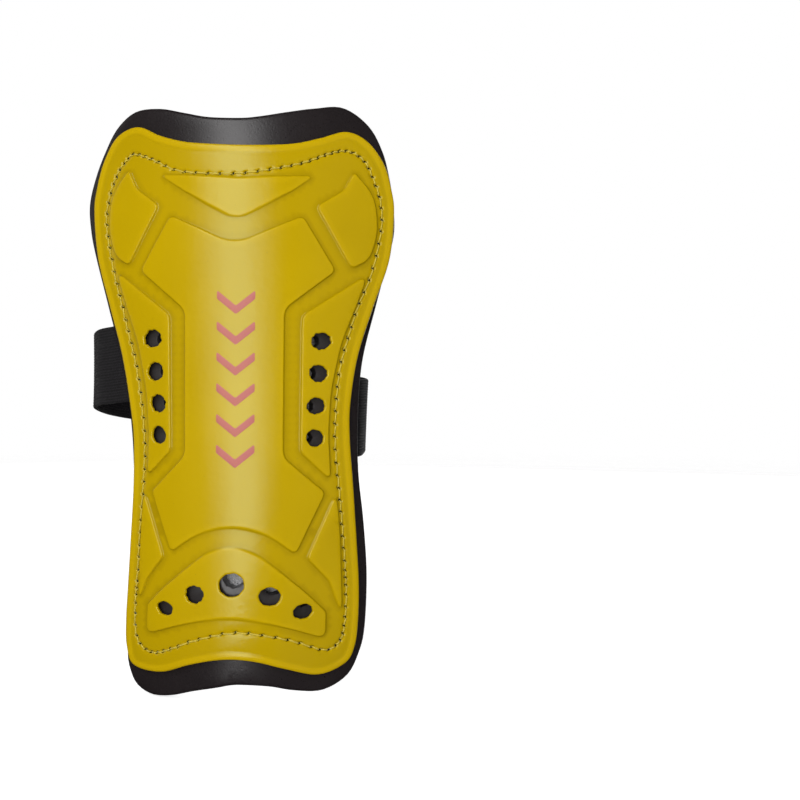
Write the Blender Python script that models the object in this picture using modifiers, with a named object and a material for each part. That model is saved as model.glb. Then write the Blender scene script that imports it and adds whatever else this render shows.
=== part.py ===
"""A strap-on shin guard: moulded shell, foam liner, knitted lining, and an elastic strap in two halves.

The frame is the guard as worn. +Z runs up the shin, the shell's outer face looks along -Y, the leg
stands on the +Y side, and the origin is the point of the lining that touches the front of the shin
at mid-height. Sizes are in millimetres and become metres where the meshes are made.
"""

import math

import bmesh
import bpy
import numpy as np
from mathutils import Matrix, Vector

MM = 0.001

# Layers, from the shell's outer face inwards.
SHELL_THICKNESS = 2.0
FOAM_THICKNESS = 5.0
LINING_THICKNESS = 0.8
LAYER_GAP = 0.3
FOAM_DEPTH = SHELL_THICKNESS + LAYER_GAP
LINING_DEPTH = FOAM_DEPTH + FOAM_THICKNESS + LAYER_GAP
STACK = LINING_DEPTH + LINING_THICKNESS

# Cross-section: a rounded ridge whose flanks straighten, tighter at the ankle than at the knee.
SECTION_Z = 100.0
RIDGE_RADIUS_ANKLE = 36.0
RIDGE_RADIUS_KNEE = 60.0
FLANK_SLOPE_ANKLE = 0.84
FLANK_SLOPE_KNEE = 0.62
END_SWEEP = 3.0

# Outlines as (height, half width) from the lowest row to the highest, and the end scallops.
SHELL_WIDTHS = (
    (-94.6, 30.0), (-91.5, 37.9), (-86.0, 40.3), (-76.0, 40.8), (-48.0, 39.1), (-14.0, 37.3),
    (15.0, 41.0), (32.0, 46.0), (50.0, 51.2), (66.0, 53.0), (78.0, 51.4), (86.0, 48.0),
    (91.0, 44.1), (93.9, 37.0),
)
FOAM_WIDTHS = (
    (-101.9, 28.0), (-98.5, 37.9), (-93.0, 41.8), (-87.0, 43.0), (-74.0, 43.8), (-56.0, 43.0),
    (-31.0, 40.7), (-14.0, 40.0), (12.0, 43.0), (28.0, 46.8), (45.5, 52.2), (63.0, 55.8),
    (75.6, 54.6), (88.0, 50.2), (96.0, 45.3), (101.6, 33.0),
)
LOBE_X = 36.0
FOOT_LOBE_X = 27.0
SHELL_TOP_DIP = 7.5
SHELL_FOOT_DIP = 6.7
FOAM_TOP_DIP = 5.5
FOAM_FOOT_DIP = 5.0
LINING_INSET = 0.6
COLUMNS = 14
ROWS = 26

# Vent holes as (x, z, radius); those off the centre line are mirrored.
VENTS = (
    (28.6, 20.7, 3.0), (27.8, 9.5, 3.0), (26.8, -1.6, 3.0), (26.6, -12.6, 3.0),
    (0.0, -62.1, 4.1), (12.8, -66.0, 3.25), (23.7, -71.9, 2.7),
)
VENT_SIDES = 14

# Perimeter seam, right half, from the top centre to the bottom centre.
SEAM = (
    (0.0, 76.8), (21.9, 80.1), (36.4, 86.2), (45.1, 78.6), (48.3, 62.0), (45.4, 45.1),
    (38.4, 23.1), (33.3, 0.0), (33.1, -19.0), (35.2, -44.1), (36.9, -71.0), (34.9, -84.7),
    (30.0, -87.4), (14.0, -81.4), (0.0, -78.8),
)
THREAD_RADIUS = 0.35
SEAM_POINTS = 96
SEAM_CLIMB = 6.5

# Elastic strap. Its routes are (x, y, z) along the middle of the band, and the first three points
# of each, given as (x, None, z), lie on the back of the lining.
STRAP_WIDTH = 28.0
STRAP_THICKNESS = 1.6
ANCHOR_GAP = 0.9
STRAP_DEPTH = STACK + ANCHOR_GAP + STRAP_THICKNESS / 2
LONG_ROUTE = (
    (-18.0, None, 15.6), (-32.0, None, 14.2), (-47.0, None, 12.8),
    (-48.6, 20.6, 12.2), (-55.6, 26.6, 11.4), (-59.3, 36.0, 9.8), (-55.8, 49.0, 7.2),
    (-43.4, 60.8, 4.6), (-24.0, 67.7, 2.2), (-8.0, 70.2, 0.4), (6.0, 69.6, -1.2),
    (23.5, 66.4, -3.0), (35.4, 60.9, -4.3),
)
SHORT_ROUTE = (
    (18.0, None, -7.0), (31.0, None, -6.9), (41.6, None, -6.8),
    (40.8, 19.6, -6.6), (42.1, 30.0, -6.2), (40.8, 43.0, -5.4), (34.3, 54.3, -4.3),
    (22.0, 61.8, -3.0), (5.0, 64.8, -1.2),
)
STRAP_STEP = 4.0
HINGE_GAP = 1.0

# Cuts between the band's pieces and ends of its patches, as lengths along each route.
LONG_HINGES = (32.0, 72.0, 118.0)
SHORT_HINGES = (26.5, 58.0)
ANCHOR_TACK = (3.0, 14.0)
PATCH_WIDTH = 22.0
PATCH_THICKNESS = 1.0
PATCH_OFFSET = STRAP_THICKNESS / 2 + LAYER_GAP + PATCH_THICKNESS / 2
PATCH_LENGTH = 30.0
PATCH_END_MARGIN = 4.0
TACK_RADIUS = 0.3
TACK_INSET = 3.0
TACK_OFFSET = STRAP_THICKNESS / 2 + LAYER_GAP + TACK_RADIUS

YELLOW = (0.56, 0.40, 0.004)
CHARCOAL = (0.020, 0.017, 0.018)
BLACK = (0.010, 0.009, 0.010)
GREY = (0.60, 0.60, 0.62)
THREAD_YELLOW = (0.68, 0.52, 0.03)


def material(name, colour, roughness):
    mat = bpy.data.materials.new(name)
    mat.use_nodes = True
    shader = mat.node_tree.nodes["Principled BSDF"]
    shader.inputs["Base Color"].default_value = (*colour, 1.0)
    shader.inputs["Roughness"].default_value = roughness
    shader.inputs["Metallic"].default_value = 0.0
    return mat


def new_object(name, mesh, collection, mat=None):
    obj = bpy.data.objects.new(name, mesh)
    collection.objects.link(obj)
    if mat:
        mesh.materials.append(mat)
    return obj


def through(points, count, closed=False):
    """count points at even steps along a Catmull-Rom curve through the given points."""
    points = np.array(points, float)
    if closed:
        points = np.vstack([points[-1], points, points[:2]])
    else:
        points = np.vstack([2 * points[0] - points[1], points, 2 * points[-1] - points[-2]])
    t = np.linspace(0.0, 1.0, 16, endpoint=False)[:, None]
    runs = []
    for a, b, c, d in zip(points, points[1:], points[2:], points[3:]):
        bend = (2 * a - 5 * b + 4 * c - d) * t**2 + (3 * b - a - 3 * c + d) * t**3
        runs.append(b + 0.5 * ((c - a) * t + bend))
    curve = np.vstack([*runs, points[-2]])
    length = np.concatenate([[0.0], np.cumsum(np.linalg.norm(np.diff(curve, axis=0), axis=1))])
    at = np.linspace(0.0, length[-1], count, endpoint=not closed)
    return np.stack([np.interp(at, length, curve[:, i]) for i in range(curve.shape[1])], axis=1)


def front(x, z):
    """y of the shell's outer face."""
    up = (z + SECTION_Z) / (2 * SECTION_Z)
    radius = RIDGE_RADIUS_ANKLE + (RIDGE_RADIUS_KNEE - RIDGE_RADIUS_ANKLE) * up
    slope = FLANK_SLOPE_ANKLE + (FLANK_SLOPE_KNEE - FLANK_SLOPE_ANKLE) * up
    reach = radius * slope**2
    return math.hypot(reach, slope * x) - reach + END_SWEEP * (z / SECTION_Z) ** 2 - STACK


def inward(x, z):
    """Unit normal of the outer face, pointing at the leg."""
    step = 0.05
    along_x = (front(x + step, z) - front(x - step, z)) / (2 * step)
    along_z = (front(x, z + step) - front(x, z - step)) / (2 * step)
    return Vector((-along_x, 1.0, -along_z)).normalized()


def layer_point(x, z, depth):
    """The point that lies this deep under the outer face at (x, z)."""
    return Vector((x, front(x, z), z)) + inward(x, z) * depth


def scallop(x, lobe, dip):
    """How far an end dips below its two lobes."""
    return dip * 0.5 * (1 + math.cos(math.pi * min(abs(x) / lobe, 1.0)))


def outline_place(s, t, widths, top_dip, foot_dip, inset=0.0):
    """(x, z) for a grid point: s from side to side and t from foot to top, each -1 to 1."""
    heights, halves = widths
    t = t * (1.3 - 0.3 * t * t)
    low, high = heights[0] + inset, heights[-1] - inset
    z = (low + high) / 2 + t * (high - low) / 2
    x = s * (float(np.interp(z, heights, halves)) - inset)
    z -= scallop(x, LOBE_X, top_dip) * max(t, 0.0) ** 3
    z += scallop(x, FOOT_LOBE_X, foot_dip) * max(-t, 0.0) ** 3
    return x, z


def add_solidify(obj, thickness, offset):
    modifier = obj.modifiers.new("thickness", "SOLIDIFY")
    modifier.thickness = thickness * MM
    modifier.offset = offset
    modifier.use_even_offset = True


def layer(name, widths, dips, depth, thickness, inset, collection, vents, mat):
    """One layer of the guard: a grid laid on its surface, thickened inwards, and vented if asked."""
    curve = through(widths, 160)
    grid = bmesh.new()
    bmesh.ops.create_grid(grid, x_segments=COLUMNS, y_segments=ROWS, size=1.0)
    for vert in grid.verts:
        x, z = outline_place(vert.co.x, vert.co.y, (curve[:, 0], curve[:, 1]), *dips, inset)
        vert.co = layer_point(x, z, depth) * MM
    mesh = bpy.data.meshes.new(name)
    grid.to_mesh(mesh)
    grid.free()
    obj = new_object(name, mesh, collection, mat)
    mesh.shade_smooth()
    mesh.set_sharp_from_angle(angle=math.radians(40))
    add_solidify(obj, thickness, -1.0)
    if vents is None:
        return obj
    cut = obj.modifiers.new("vents", "BOOLEAN")
    cut.operation = "DIFFERENCE"
    cut.operand_type = "COLLECTION"
    cut.collection = vents
    cut.solver = "EXACT"
    return obj


def vent_cutter(name, x, z, radius, collection):
    """A hidden cylinder square to the outer face, long enough for every layer."""
    length = 2.5 * STACK
    cutter = bmesh.new()
    bmesh.ops.create_cone(
        cutter, cap_ends=True, segments=VENT_SIDES, radius1=radius * MM, radius2=radius * MM,
        depth=length * MM,
    )
    mesh = bpy.data.meshes.new(name)
    cutter.to_mesh(mesh)
    cutter.free()
    obj = new_object(name, mesh, collection)
    obj.location = layer_point(x, z, STACK / 2) * MM
    obj.rotation_euler = inward(x, z).to_track_quat("Z", "Y").to_euler()
    obj.hide_render = True
    obj.display_type = "WIRE"


def make_vents(collection):
    for number, (x, z, radius) in enumerate(VENTS):
        vent_cutter(f"vent_{number}_right", x, z, radius, collection)
        if x:
            vent_cutter(f"vent_{number}_left", -x, z, radius, collection)


def tube(name, points, radius, collection, mat):
    """A closed loop of thread through these points, in millimetres."""
    curve = bpy.data.curves.new(name, "CURVE")
    curve.dimensions = "3D"
    curve.bevel_depth = radius * MM
    curve.bevel_resolution = 1
    spline = curve.splines.new("POLY")
    spline.points.add(len(points) - 1)
    for point, place in zip(spline.points, points):
        point.co = (*(Vector(place) * MM), 1.0)
    spline.use_cyclic_u = True
    return new_object(name, curve, collection, mat)


def over_strap(x, z):
    """Whether the seam at (x, z) runs over a sewn end of the strap."""
    middle = LONG_ROUTE[2][2] if x < 0 else SHORT_ROUTE[2][2]
    return abs(z - middle) < STRAP_WIDTH / 2 + SEAM_CLIMB


def seam_thread(name, depth, strap_rise, collection, mat):
    """The perimeter seam's thread on one face, raised where it runs over the strap's ends."""
    left = tuple((-x, z) for x, z in reversed(SEAM[1:-1]))
    outline = through(SEAM + left, SEAM_POINTS, closed=True)
    points = [layer_point(x, z, depth + strap_rise * over_strap(x, z)) for x, z in outline]
    return tube(name, points, THREAD_RADIUS, collection, mat)


class Route:
    """The middle line of the band, walked by length, with its outward and crosswise directions."""

    def __init__(self, points, outward_turn):
        places = [
            (x, y, z) if y is not None else tuple(layer_point(x, z, STRAP_DEPTH))
            for x, y, z in points
        ]
        self.curve = through(places, 400)
        steps = np.linalg.norm(np.diff(self.curve, axis=0), axis=1)
        self.lengths = np.concatenate([[0.0], np.cumsum(steps)])
        self.turn = outward_turn

    @property
    def length(self):
        return float(self.lengths[-1])

    def at(self, length):
        return Vector([np.interp(length, self.lengths, self.curve[:, i]) for i in range(3)])

    def frame(self, length):
        """(middle, outward, across) at this length."""
        along = (self.at(length + 0.5) - self.at(length - 0.5)).normalized()
        outward = Vector((-along.y, along.x, 0.0)).normalized() * self.turn
        across = outward.cross(along).normalized() * self.turn
        return self.at(length), outward, across

    def place(self, length, offset, sideways):
        middle, outward, across = self.frame(length)
        return middle + outward * offset + across * sideways


def band(name, route, start, end, offset, width, thickness, collection, mat):
    """A flat strip of the route between two lengths, thickened both ways."""
    count = max(2, round((end - start) / STRAP_STEP))
    grid = bmesh.new()
    bmesh.ops.create_grid(grid, x_segments=count, y_segments=2, size=1.0)
    for vert in grid.verts:
        length = start + (end - start) * (vert.co.x + 1) / 2
        vert.co = route.place(length, offset, vert.co.y * width / 2) * MM
    mesh = bpy.data.meshes.new(name)
    grid.to_mesh(mesh)
    grid.free()
    obj = new_object(name, mesh, collection, mat)
    mesh.shade_smooth()
    mesh.set_sharp_from_angle(angle=math.radians(40))
    add_solidify(obj, thickness, 0.0)
    if route.turn < 0:
        mesh.flip_normals()
    return obj


def box_tack(name, route, start, end, offset, collection, mat):
    """A rectangle of stitching on one face of the band."""
    half = PATCH_WIDTH / 2 - TACK_INSET / 2
    lengths = np.linspace(start, end, max(3, round((end - start) / STRAP_STEP)))
    there = [route.place(s, offset, -half) for s in lengths]
    back = [route.place(s, offset, half) for s in reversed(lengths)]
    return tube(name, there + back, TACK_RADIUS, collection, mat)


def set_hinge_origin(obj, pivot):
    """Moves the origin to the hinge axis and leaves the shape where it is."""
    obj.data.transform(Matrix.Translation(-pivot))
    obj.location = pivot


def strap_half(prefix, route, hinges, segments, collection, mat):
    """The sewn end and the swinging pieces of one half of the strap. Returns them in order."""
    cuts = [0.0, *hinges, route.length]
    pieces = []
    for number, (name, start, end) in enumerate(zip(segments, cuts, cuts[1:])):
        start += HINGE_GAP / 2 if number else 0.0
        end -= HINGE_GAP / 2 if number < len(segments) - 1 else 0.0
        piece = band(
            f"{prefix}_{name}", route, start, end, 0.0, STRAP_WIDTH, STRAP_THICKNESS,
            collection, mat,
        )
        if number:
            set_hinge_origin(piece, route.at(cuts[number]) * MM)
        pieces.append(piece)
    return pieces


def strap_end(name, side, route, hinge, collection, mat, thread):
    """The hook or loop patch near a half's free end, and its stitching through the band."""
    patch_end = route.length - PATCH_END_MARGIN
    patch_start = patch_end - PATCH_LENGTH
    patch = band(
        name, route, patch_start, patch_end, side * PATCH_OFFSET, PATCH_WIDTH, PATCH_THICKNESS,
        collection, mat,
    )
    tack = box_tack(
        f"{name}_stitching", route, patch_start + TACK_INSET, patch_end - TACK_INSET,
        -side * TACK_OFFSET, collection, thread,
    )
    pivot = route.at(hinge) * MM
    set_hinge_origin(patch, pivot)
    set_hinge_origin(tack, pivot)


def make_straps(collection, elastic, velcro, thread):
    long_route = Route(LONG_ROUTE, 1)
    short_route = Route(SHORT_ROUTE, -1)
    strap_half(
        "long_strap", long_route, LONG_HINGES, ("anchor", "side", "back", "tip"), collection,
        elastic,
    )
    strap_half(
        "short_strap", short_route, SHORT_HINGES, ("anchor", "side", "tip"), collection, elastic
    )
    strap_end("hook_patch", -1, long_route, LONG_HINGES[-1], collection, velcro, thread)
    strap_end("loop_patch", 1, short_route, SHORT_HINGES[-1], collection, velcro, thread)
    for name, route in (("long_strap_tack", long_route), ("short_strap_tack", short_route)):
        box_tack(name, route, *ANCHOR_TACK, -TACK_OFFSET, collection, thread)


def new_collection(name):
    collection = bpy.data.collections.new(name)
    bpy.context.scene.collection.children.link(collection)
    return collection


def main():
    for obj in list(bpy.data.objects):
        bpy.data.objects.remove(obj, do_unlink=True)
    guard = new_collection("shin_guard")
    vents = new_collection("vent_cutters")
    make_vents(vents)
    vinyl = material("glossy_vinyl", YELLOW, 0.28)
    foam = material("charcoal_foam", CHARCOAL, 0.75)
    knit = material("grey_knit", GREY, 0.9)
    elastic = material("black_elastic", BLACK, 0.85)
    velcro = material("black_hook_and_loop", BLACK, 0.8)
    yellow_thread = material("yellow_thread", THREAD_YELLOW, 0.6)
    black_thread = material("black_thread", CHARCOAL, 0.6)
    shell_dips = (SHELL_TOP_DIP, SHELL_FOOT_DIP)
    foam_dips = (FOAM_TOP_DIP, FOAM_FOOT_DIP)
    layer("shell", SHELL_WIDTHS, shell_dips, 0.0, SHELL_THICKNESS, 0.0, guard, vents, vinyl)
    layer("foam_liner", FOAM_WIDTHS, foam_dips, FOAM_DEPTH, FOAM_THICKNESS, 0.0, guard, vents, foam)
    layer(
        "lining_fabric", FOAM_WIDTHS, foam_dips, LINING_DEPTH, LINING_THICKNESS, LINING_INSET,
        guard, None, knit,
    )
    above = LAYER_GAP + THREAD_RADIUS
    seam_thread("needle_thread", -above, 0.0, guard, yellow_thread)
    strap_rise = ANCHOR_GAP + STRAP_THICKNESS + LAYER_GAP
    seam_thread("bobbin_thread", STACK + above, strap_rise, guard, yellow_thread)
    make_straps(guard, elastic, velcro, black_thread)


main()
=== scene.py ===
"""Looks for the strap-on shin guard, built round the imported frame.

Shapes are worked out in millimetres in the frame's own axes: +Z up the shin, -Y out of the shell's
face. A place on the guard is (x, z) on the shell's outer face, and a depth is measured from that
face inwards along its normal.
"""

import math

import bpy
import numpy as np
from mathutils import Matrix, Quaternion, Vector
from mathutils.geometry import delaunay_2d_cdt


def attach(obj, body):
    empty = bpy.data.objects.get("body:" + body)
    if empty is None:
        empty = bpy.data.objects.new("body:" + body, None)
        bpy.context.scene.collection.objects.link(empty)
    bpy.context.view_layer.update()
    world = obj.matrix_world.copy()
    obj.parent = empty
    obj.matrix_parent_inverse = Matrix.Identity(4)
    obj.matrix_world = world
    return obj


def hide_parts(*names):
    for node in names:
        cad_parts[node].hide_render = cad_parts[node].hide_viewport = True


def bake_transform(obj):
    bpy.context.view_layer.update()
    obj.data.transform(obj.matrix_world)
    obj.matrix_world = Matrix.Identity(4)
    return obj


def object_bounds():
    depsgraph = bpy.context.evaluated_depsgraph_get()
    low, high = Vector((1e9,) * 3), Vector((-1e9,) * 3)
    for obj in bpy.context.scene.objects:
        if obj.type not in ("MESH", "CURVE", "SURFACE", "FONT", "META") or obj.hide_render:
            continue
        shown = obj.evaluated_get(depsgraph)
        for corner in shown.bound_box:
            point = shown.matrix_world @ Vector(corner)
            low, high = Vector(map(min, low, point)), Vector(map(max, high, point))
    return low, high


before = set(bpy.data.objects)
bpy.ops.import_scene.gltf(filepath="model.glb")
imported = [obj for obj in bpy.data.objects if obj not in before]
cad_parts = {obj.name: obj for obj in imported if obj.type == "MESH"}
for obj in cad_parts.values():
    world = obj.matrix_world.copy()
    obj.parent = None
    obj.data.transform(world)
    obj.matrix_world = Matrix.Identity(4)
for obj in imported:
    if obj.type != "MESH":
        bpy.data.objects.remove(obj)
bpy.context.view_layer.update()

MM = 0.001
SEED = 7

# Layers and outer surface, as in the CAD.
SHELL_THICKNESS = 2.0
FOAM_THICKNESS = 5.0
LINING_THICKNESS = 0.8
LAYER_GAP = 0.3
FOAM_DEPTH = SHELL_THICKNESS + LAYER_GAP
LINING_DEPTH = FOAM_DEPTH + FOAM_THICKNESS + LAYER_GAP
STACK = LINING_DEPTH + LINING_THICKNESS
SECTION_Z = 100.0
RIDGE_RADIUS_ANKLE = 36.0
RIDGE_RADIUS_KNEE = 60.0
FLANK_SLOPE_ANKLE = 0.84
FLANK_SLOPE_KNEE = 0.62
END_SWEEP = 3.0

# Halves of the outlines from the top centre round to the bottom centre, as (distance from the
# centre line, z). The layers were cut and sewn by hand, so the two sides differ by a millimetre
# or two.
SHELL_RIGHT = (
    (0.0, 86.2), (12.0, 86.6), (20.0, 87.7), (28.0, 90.2), (36.4, 93.2), (43.6, 90.6),
    (49.4, 83.3), (52.1, 74.5), (53.1, 66.0), (51.5, 49.5), (45.9, 32.3), (40.8, 15.3),
    (38.3, -1.4), (38.2, -14.0), (39.4, -30.6), (40.5, -47.6), (41.4, -64.7), (41.2, -77.7),
    (40.1, -86.8), (36.9, -92.7), (27.8, -95.6), (17.3, -92.6), (8.0, -89.6), (0.0, -88.4),
)
SHELL_LEFT = (
    (0.0, 86.2), (12.0, 86.9), (20.0, 88.1), (28.2, 90.7), (36.7, 94.5), (44.8, 91.7),
    (50.0, 83.6), (52.8, 74.6), (53.9, 66.0), (52.2, 49.5), (47.2, 32.2), (42.2, 15.3),
    (39.0, -1.4), (37.5, -14.0), (37.7, -30.6), (38.9, -47.6), (40.3, -64.7), (41.4, -77.7),
    (41.4, -87.2), (38.6, -94.1), (27.8, -95.0), (17.0, -91.3), (8.0, -89.0), (0.0, -88.4),
)
FOAM_RIGHT = (
    (0.0, 96.4), (7.6, 97.2), (16.8, 99.1), (26.1, 101.1), (36.1, 102.4), (45.0, 97.1),
    (50.1, 88.5), (52.7, 79.0), (54.2, 69.4), (54.5, 59.9), (52.6, 50.6), (48.0, 32.3),
    (43.6, 13.5), (42.2, -5.4), (42.4, -24.5), (44.4, -43.6), (45.6, -62.7), (44.9, -81.8),
    (42.8, -90.9), (38.7, -98.4), (30.3, -102.4), (20.6, -101.2), (11.4, -98.9), (0.0, -98.0),
)
FOAM_LEFT = (
    (0.0, 96.4), (11.5, 96.9), (20.8, 98.9), (30.2, 101.1), (39.5, 100.9), (46.8, 95.8),
    (51.8, 87.7), (55.7, 78.9), (58.2, 69.5), (57.6, 59.9), (55.5, 50.6), (50.1, 32.3),
    (44.7, 13.5), (41.1, -5.4), (39.8, -24.5), (40.6, -43.6), (42.1, -62.7), (42.7, -82.0),
    (43.6, -91.5), (42.6, -97.2), (39.7, -102.3), (33.5, -104.8), (26.0, -104.0), (16.6, -101.2),
    (7.4, -99.2), (0.0, -98.0),
)
LINING_INSET = 0.6

# Where the ridge gives way to the flanks, as distances from the centre line.
FLANK_START = 4.0
FLANK_BLEND = 18.0

# Raised panels: (x, z, corner radius). The moulding sits slightly askew on the guard, so the left
# and right panels aren't quite mirror images. A radius too large for its corner is cut down, so 60
# and more make an arc. The top panel flattens towards its tips.
PANEL_STEP = 0.8
PANEL_WALL_FLANK = 0.42
PANEL_WALL_RIDGE = 0.9
PANEL_HEIGHT_FLANK = 0.75
PANEL_HEIGHT_RIDGE = 0.42
PANEL_BEND = 0.25
TOP_PANEL = 0
TOP_PANEL_LOSS = 0.65
TOP_PANEL_FADE = (10, 15)
# FOOT_SHADE and CREST_HIGHLIGHT are (offset, width) of the painted shade along each wall's foot and
# of the painted highlight along its upper edge; FOOT_SHADE_DEPTH sets how dark the painted shade
# gets.
FOOT_SHADE = (0.05, 0.45)
FOOT_SHADE_DEPTH = 1.35
CREST_HIGHLIGHT = (0.1, 0.4)
PANEL_CORNERS = (
    (
        (0.0, 60.4, 9.0), (10.0, 66.0, 4.0), (18.5, 71.0, 10.0), (25.5, 76.5, 0.8), (0.0, 74.6, 30.0),
        (-27.6, 76.8, 0.8), (-19.2, 71.2, 10.0), (-10.4, 66.0, 4.0),
    ),
    (
        (-0.8, 52.0, 14.0), (-23.2, 62.5, 2.2), (-34.2, 44.0, 2.4), (-17.6, 30.1, 6.0),
        (-17.4, -19.3, 6.0), (-29.6, -31.7, 2.2), (-22.5, -52.4, 1.8), (-12.6, -45.3, 60.0),
        (-1.2, -42.6, 90.0), (10.4, -45.3, 60.0), (19.9, -52.8, 1.8), (29.6, -32.0, 2.2),
        (15.8, -19.7, 6.0), (16.0, 30.6, 6.0), (32.8, 44.3, 2.4), (21.8, 62.4, 2.2),
    ),
    (
        (-1.4, -49.6, 60.0), (-9.4, -51.8, 60.0), (-17.4, -58.0, 60.0), (-25.3, -64.7, 60.0),
        (-31.7, -71.2, 2.0), (-32.3, -81.8, 2.4), (-17.0, -76.4, 90.0), (-1.5, -73.4, 90.0),
        (14.4, -76.8, 90.0), (29.8, -82.8, 2.4), (29.9, -73.4, 2.0), (23.3, -66.2, 60.0),
        (15.2, -58.8, 60.0), (7.0, -52.1, 60.0),
    ),
    (
        (-39.2, 79.4, 0.8), (-45.9, 71.3, 60.0), (-47.2, 59.3, 60.0), (-44.3, 49.6, 9.0),
        (-38.9, 46.1, 1.8), (-27.6, 66.1, 2.0), (-36.0, 72.6, 5.0),
    ),
    (
        (38.9, 79.0, 0.8), (35.2, 72.2, 5.0), (26.3, 66.1, 2.0), (38.1, 45.4, 1.8),
        (44.3, 49.0, 9.0), (47.2, 59.3, 60.0), (45.9, 71.3, 60.0),
    ),
    (
        (-44.0, 44.6, 1.4), (-39.6, 31.5, 60.0), (-35.2, 19.8, 60.0), (-31.8, 3.0, 60.0),
        (-30.9, -12.0, 60.0), (-31.4, -26.6, 1.2), (-22.5, -17.6, 4.0), (-23.1, 28.5, 4.0),
    ),
    (
        (43.6, 43.6, 1.4), (21.8, 28.5, 4.0), (21.4, -18.0, 4.0), (31.4, -27.8, 1.2),
        (30.6, -12.0, 60.0), (31.4, 3.0, 60.0), (34.8, 19.8, 60.0), (39.6, 32.0, 60.0),
    ),
    (
        (-33.0, -30.8, 1.2), (-34.3, -47.0, 8.0), (-34.9, -60.0, 8.0), (-35.3, -70.8, 1.0),
        (-31.6, -62.0, 5.0), (-25.4, -54.1, 2.2),
    ),
    (
        (33.4, -32.0, 1.2), (23.7, -54.3, 2.2), (31.0, -62.8, 5.0), (35.4, -75.8, 1.0),
        (35.0, -62.0, 8.0), (34.6, -47.5, 8.0),
    ),
)

# Rim bead, the shallow crease inside it, and where the marks that the material reads end: the painted
# highlight along the rim, the painted shade in the grooves, and the front face that carries them.
RIM_WIDTH = 2.5
RIM_HEIGHT = 0.16
RIM_RISE = 0.9
RIM_FALL = (0.62, 1.3)
RIM_MARK = (0.6, 0.9)
FRONT_DEPTH = 0.75
PLAIN_SHARE = 0.9
CREASE_DEPTH = 0.06
CREASE_WIDTH = 0.6

# Halves of the perimeter seam, and its stitches.
SEAM_RIGHT = (
    (0.0, 76.3), (12.0, 78.2), (21.9, 80.9), (30.5, 84.8), (36.4, 86.4), (41.9, 84.1), (45.1, 78.6),
    (48.0, 70.3), (48.5, 60.7), (45.4, 45.1), (40.4, 32.0), (37.7, 23.1), (34.3, 9.5),
    (33.0, -8.9), (33.3, -19.3), (34.4, -31.2), (35.5, -44.1), (36.6, -59.6), (36.9, -70.2),
    (36.2, -80.0), (34.5, -84.9), (30.0, -87.2), (22.0, -83.9), (14.0, -81.2), (0.0, -79.0),
)
SEAM_LEFT = (
    (0.0, 76.3), (12.0, 76.6), (21.9, 78.1), (30.5, 82.4), (37.6, 85.0), (40.4, 83.4), (44.2, 78.8),
    (47.5, 70.3), (48.4, 60.7), (45.5, 45.1), (41.8, 32.0), (39.4, 23.1), (35.8, 9.5),
    (33.2, -8.9), (32.9, -19.3), (33.6, -31.2), (34.8, -44.1), (36.0, -59.6), (37.1, -70.2),
    (37.4, -80.0), (35.8, -85.8), (30.3, -88.4), (22.0, -85.6), (14.0, -82.2), (0.0, -79.0),
)
STITCH_LONG = 4.4
STITCH_SHORT = 2.3
SHORT_NEAR = ((36.4, 84.0, 17.0), (33.0, -85.5, 9.0), (37.0, -64.0, 5.0))
CHANNEL_DEPTH = 0.24
CHANNEL_WIDTH = 0.75
NEEDLE_DEPTH = 0.9
NEEDLE_LONG = 0.84
NEEDLE_WIDE = 0.40
NEEDLE_TURN = 0.55
THREAD_RADIUS = 0.24
THREAD_SIDES = 8
NEEDLE_THREAD = (-1.3, 0.20)
BOBBIN_THREAD = (-0.5, 0.2)
STITCH_SLANT = 0.34
STITCH_SQUASH = 0.85
STITCH_SHARES = (0.0, 0.07, 0.14, 0.24, 0.38, 0.5, 0.62, 0.76, 0.86, 0.93, 1.0)
PITCH_SPREAD = (0.93, 1.07)
DIVE_START = 0.12
DIVE_LENGTH = 0.6
FOAM_PRESS = 0.5
UNDER_FADE = 2.0
SEAM_PRESS = 0.45
SEAM_PRESS_WIDTH = 1.6

# Punched vents: (x, z, half width, half height, tilt in degrees), and how the foam's are shifted.
VENTS = (
    (-29.4, 20.6, 3.2, 3.0, 0.0), (-28.3, 9.3, 2.95, 3.05, 0.0), (-27.2, -1.6, 2.75, 3.0, 6.0),
    (-26.9, -12.4, 2.5, 3.0, 0.0), (28.1, 20.0, 3.15, 2.95, 15.0), (27.2, 8.9, 3.05, 2.8, -15.0),
    (26.45, -2.2, 2.9, 2.85, 0.0), (26.15, -13.2, 2.85, 2.85, 0.0), (-1.2, -62.8, 4.2, 4.0, 0.0),
    (-14.0, -66.4, 3.2, 3.0, 0.0), (11.5, -66.9, 3.5, 3.2, 8.0), (-24.9, -72.0, 3.0, 2.3, -10.0),
    (22.3, -72.6, 3.2, 2.5, 12.0),
)
VENT_POINTS = 36
FOAM_VENT_SEED = 40
VENT_RAGGED = 0.1
VENT_WAVES = ((2, 0.5), (3, 0.35), (5, 0.3), (8, 0.5), (11, 0.4))
SIDE_VENT_SHIFT = (2.5, 0.1)
SIDE_VENT_SHRINK = 0.5
FOOT_VENT_SHIFTS = {8: (0.5, 2.2), 9: (2.0, 4.2), 10: (1.7, 2.9), 11: (2.0, 3.4), 12: (1.2, 3.3)}
FOOT_VENT_SHRINK = 0.35

# Printed chevrons down the ridge.
CHEVRONS = 6
CHEVRON_TOP = 36.6
CHEVRON_PITCH = 10.35
CHEVRON_HALF = 6.4
CHEVRON_DROP = 5.2
CHEVRON_STROKE = 2.9
INK_PROUD = 0.05
INK_THICKNESS = 0.09

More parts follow.
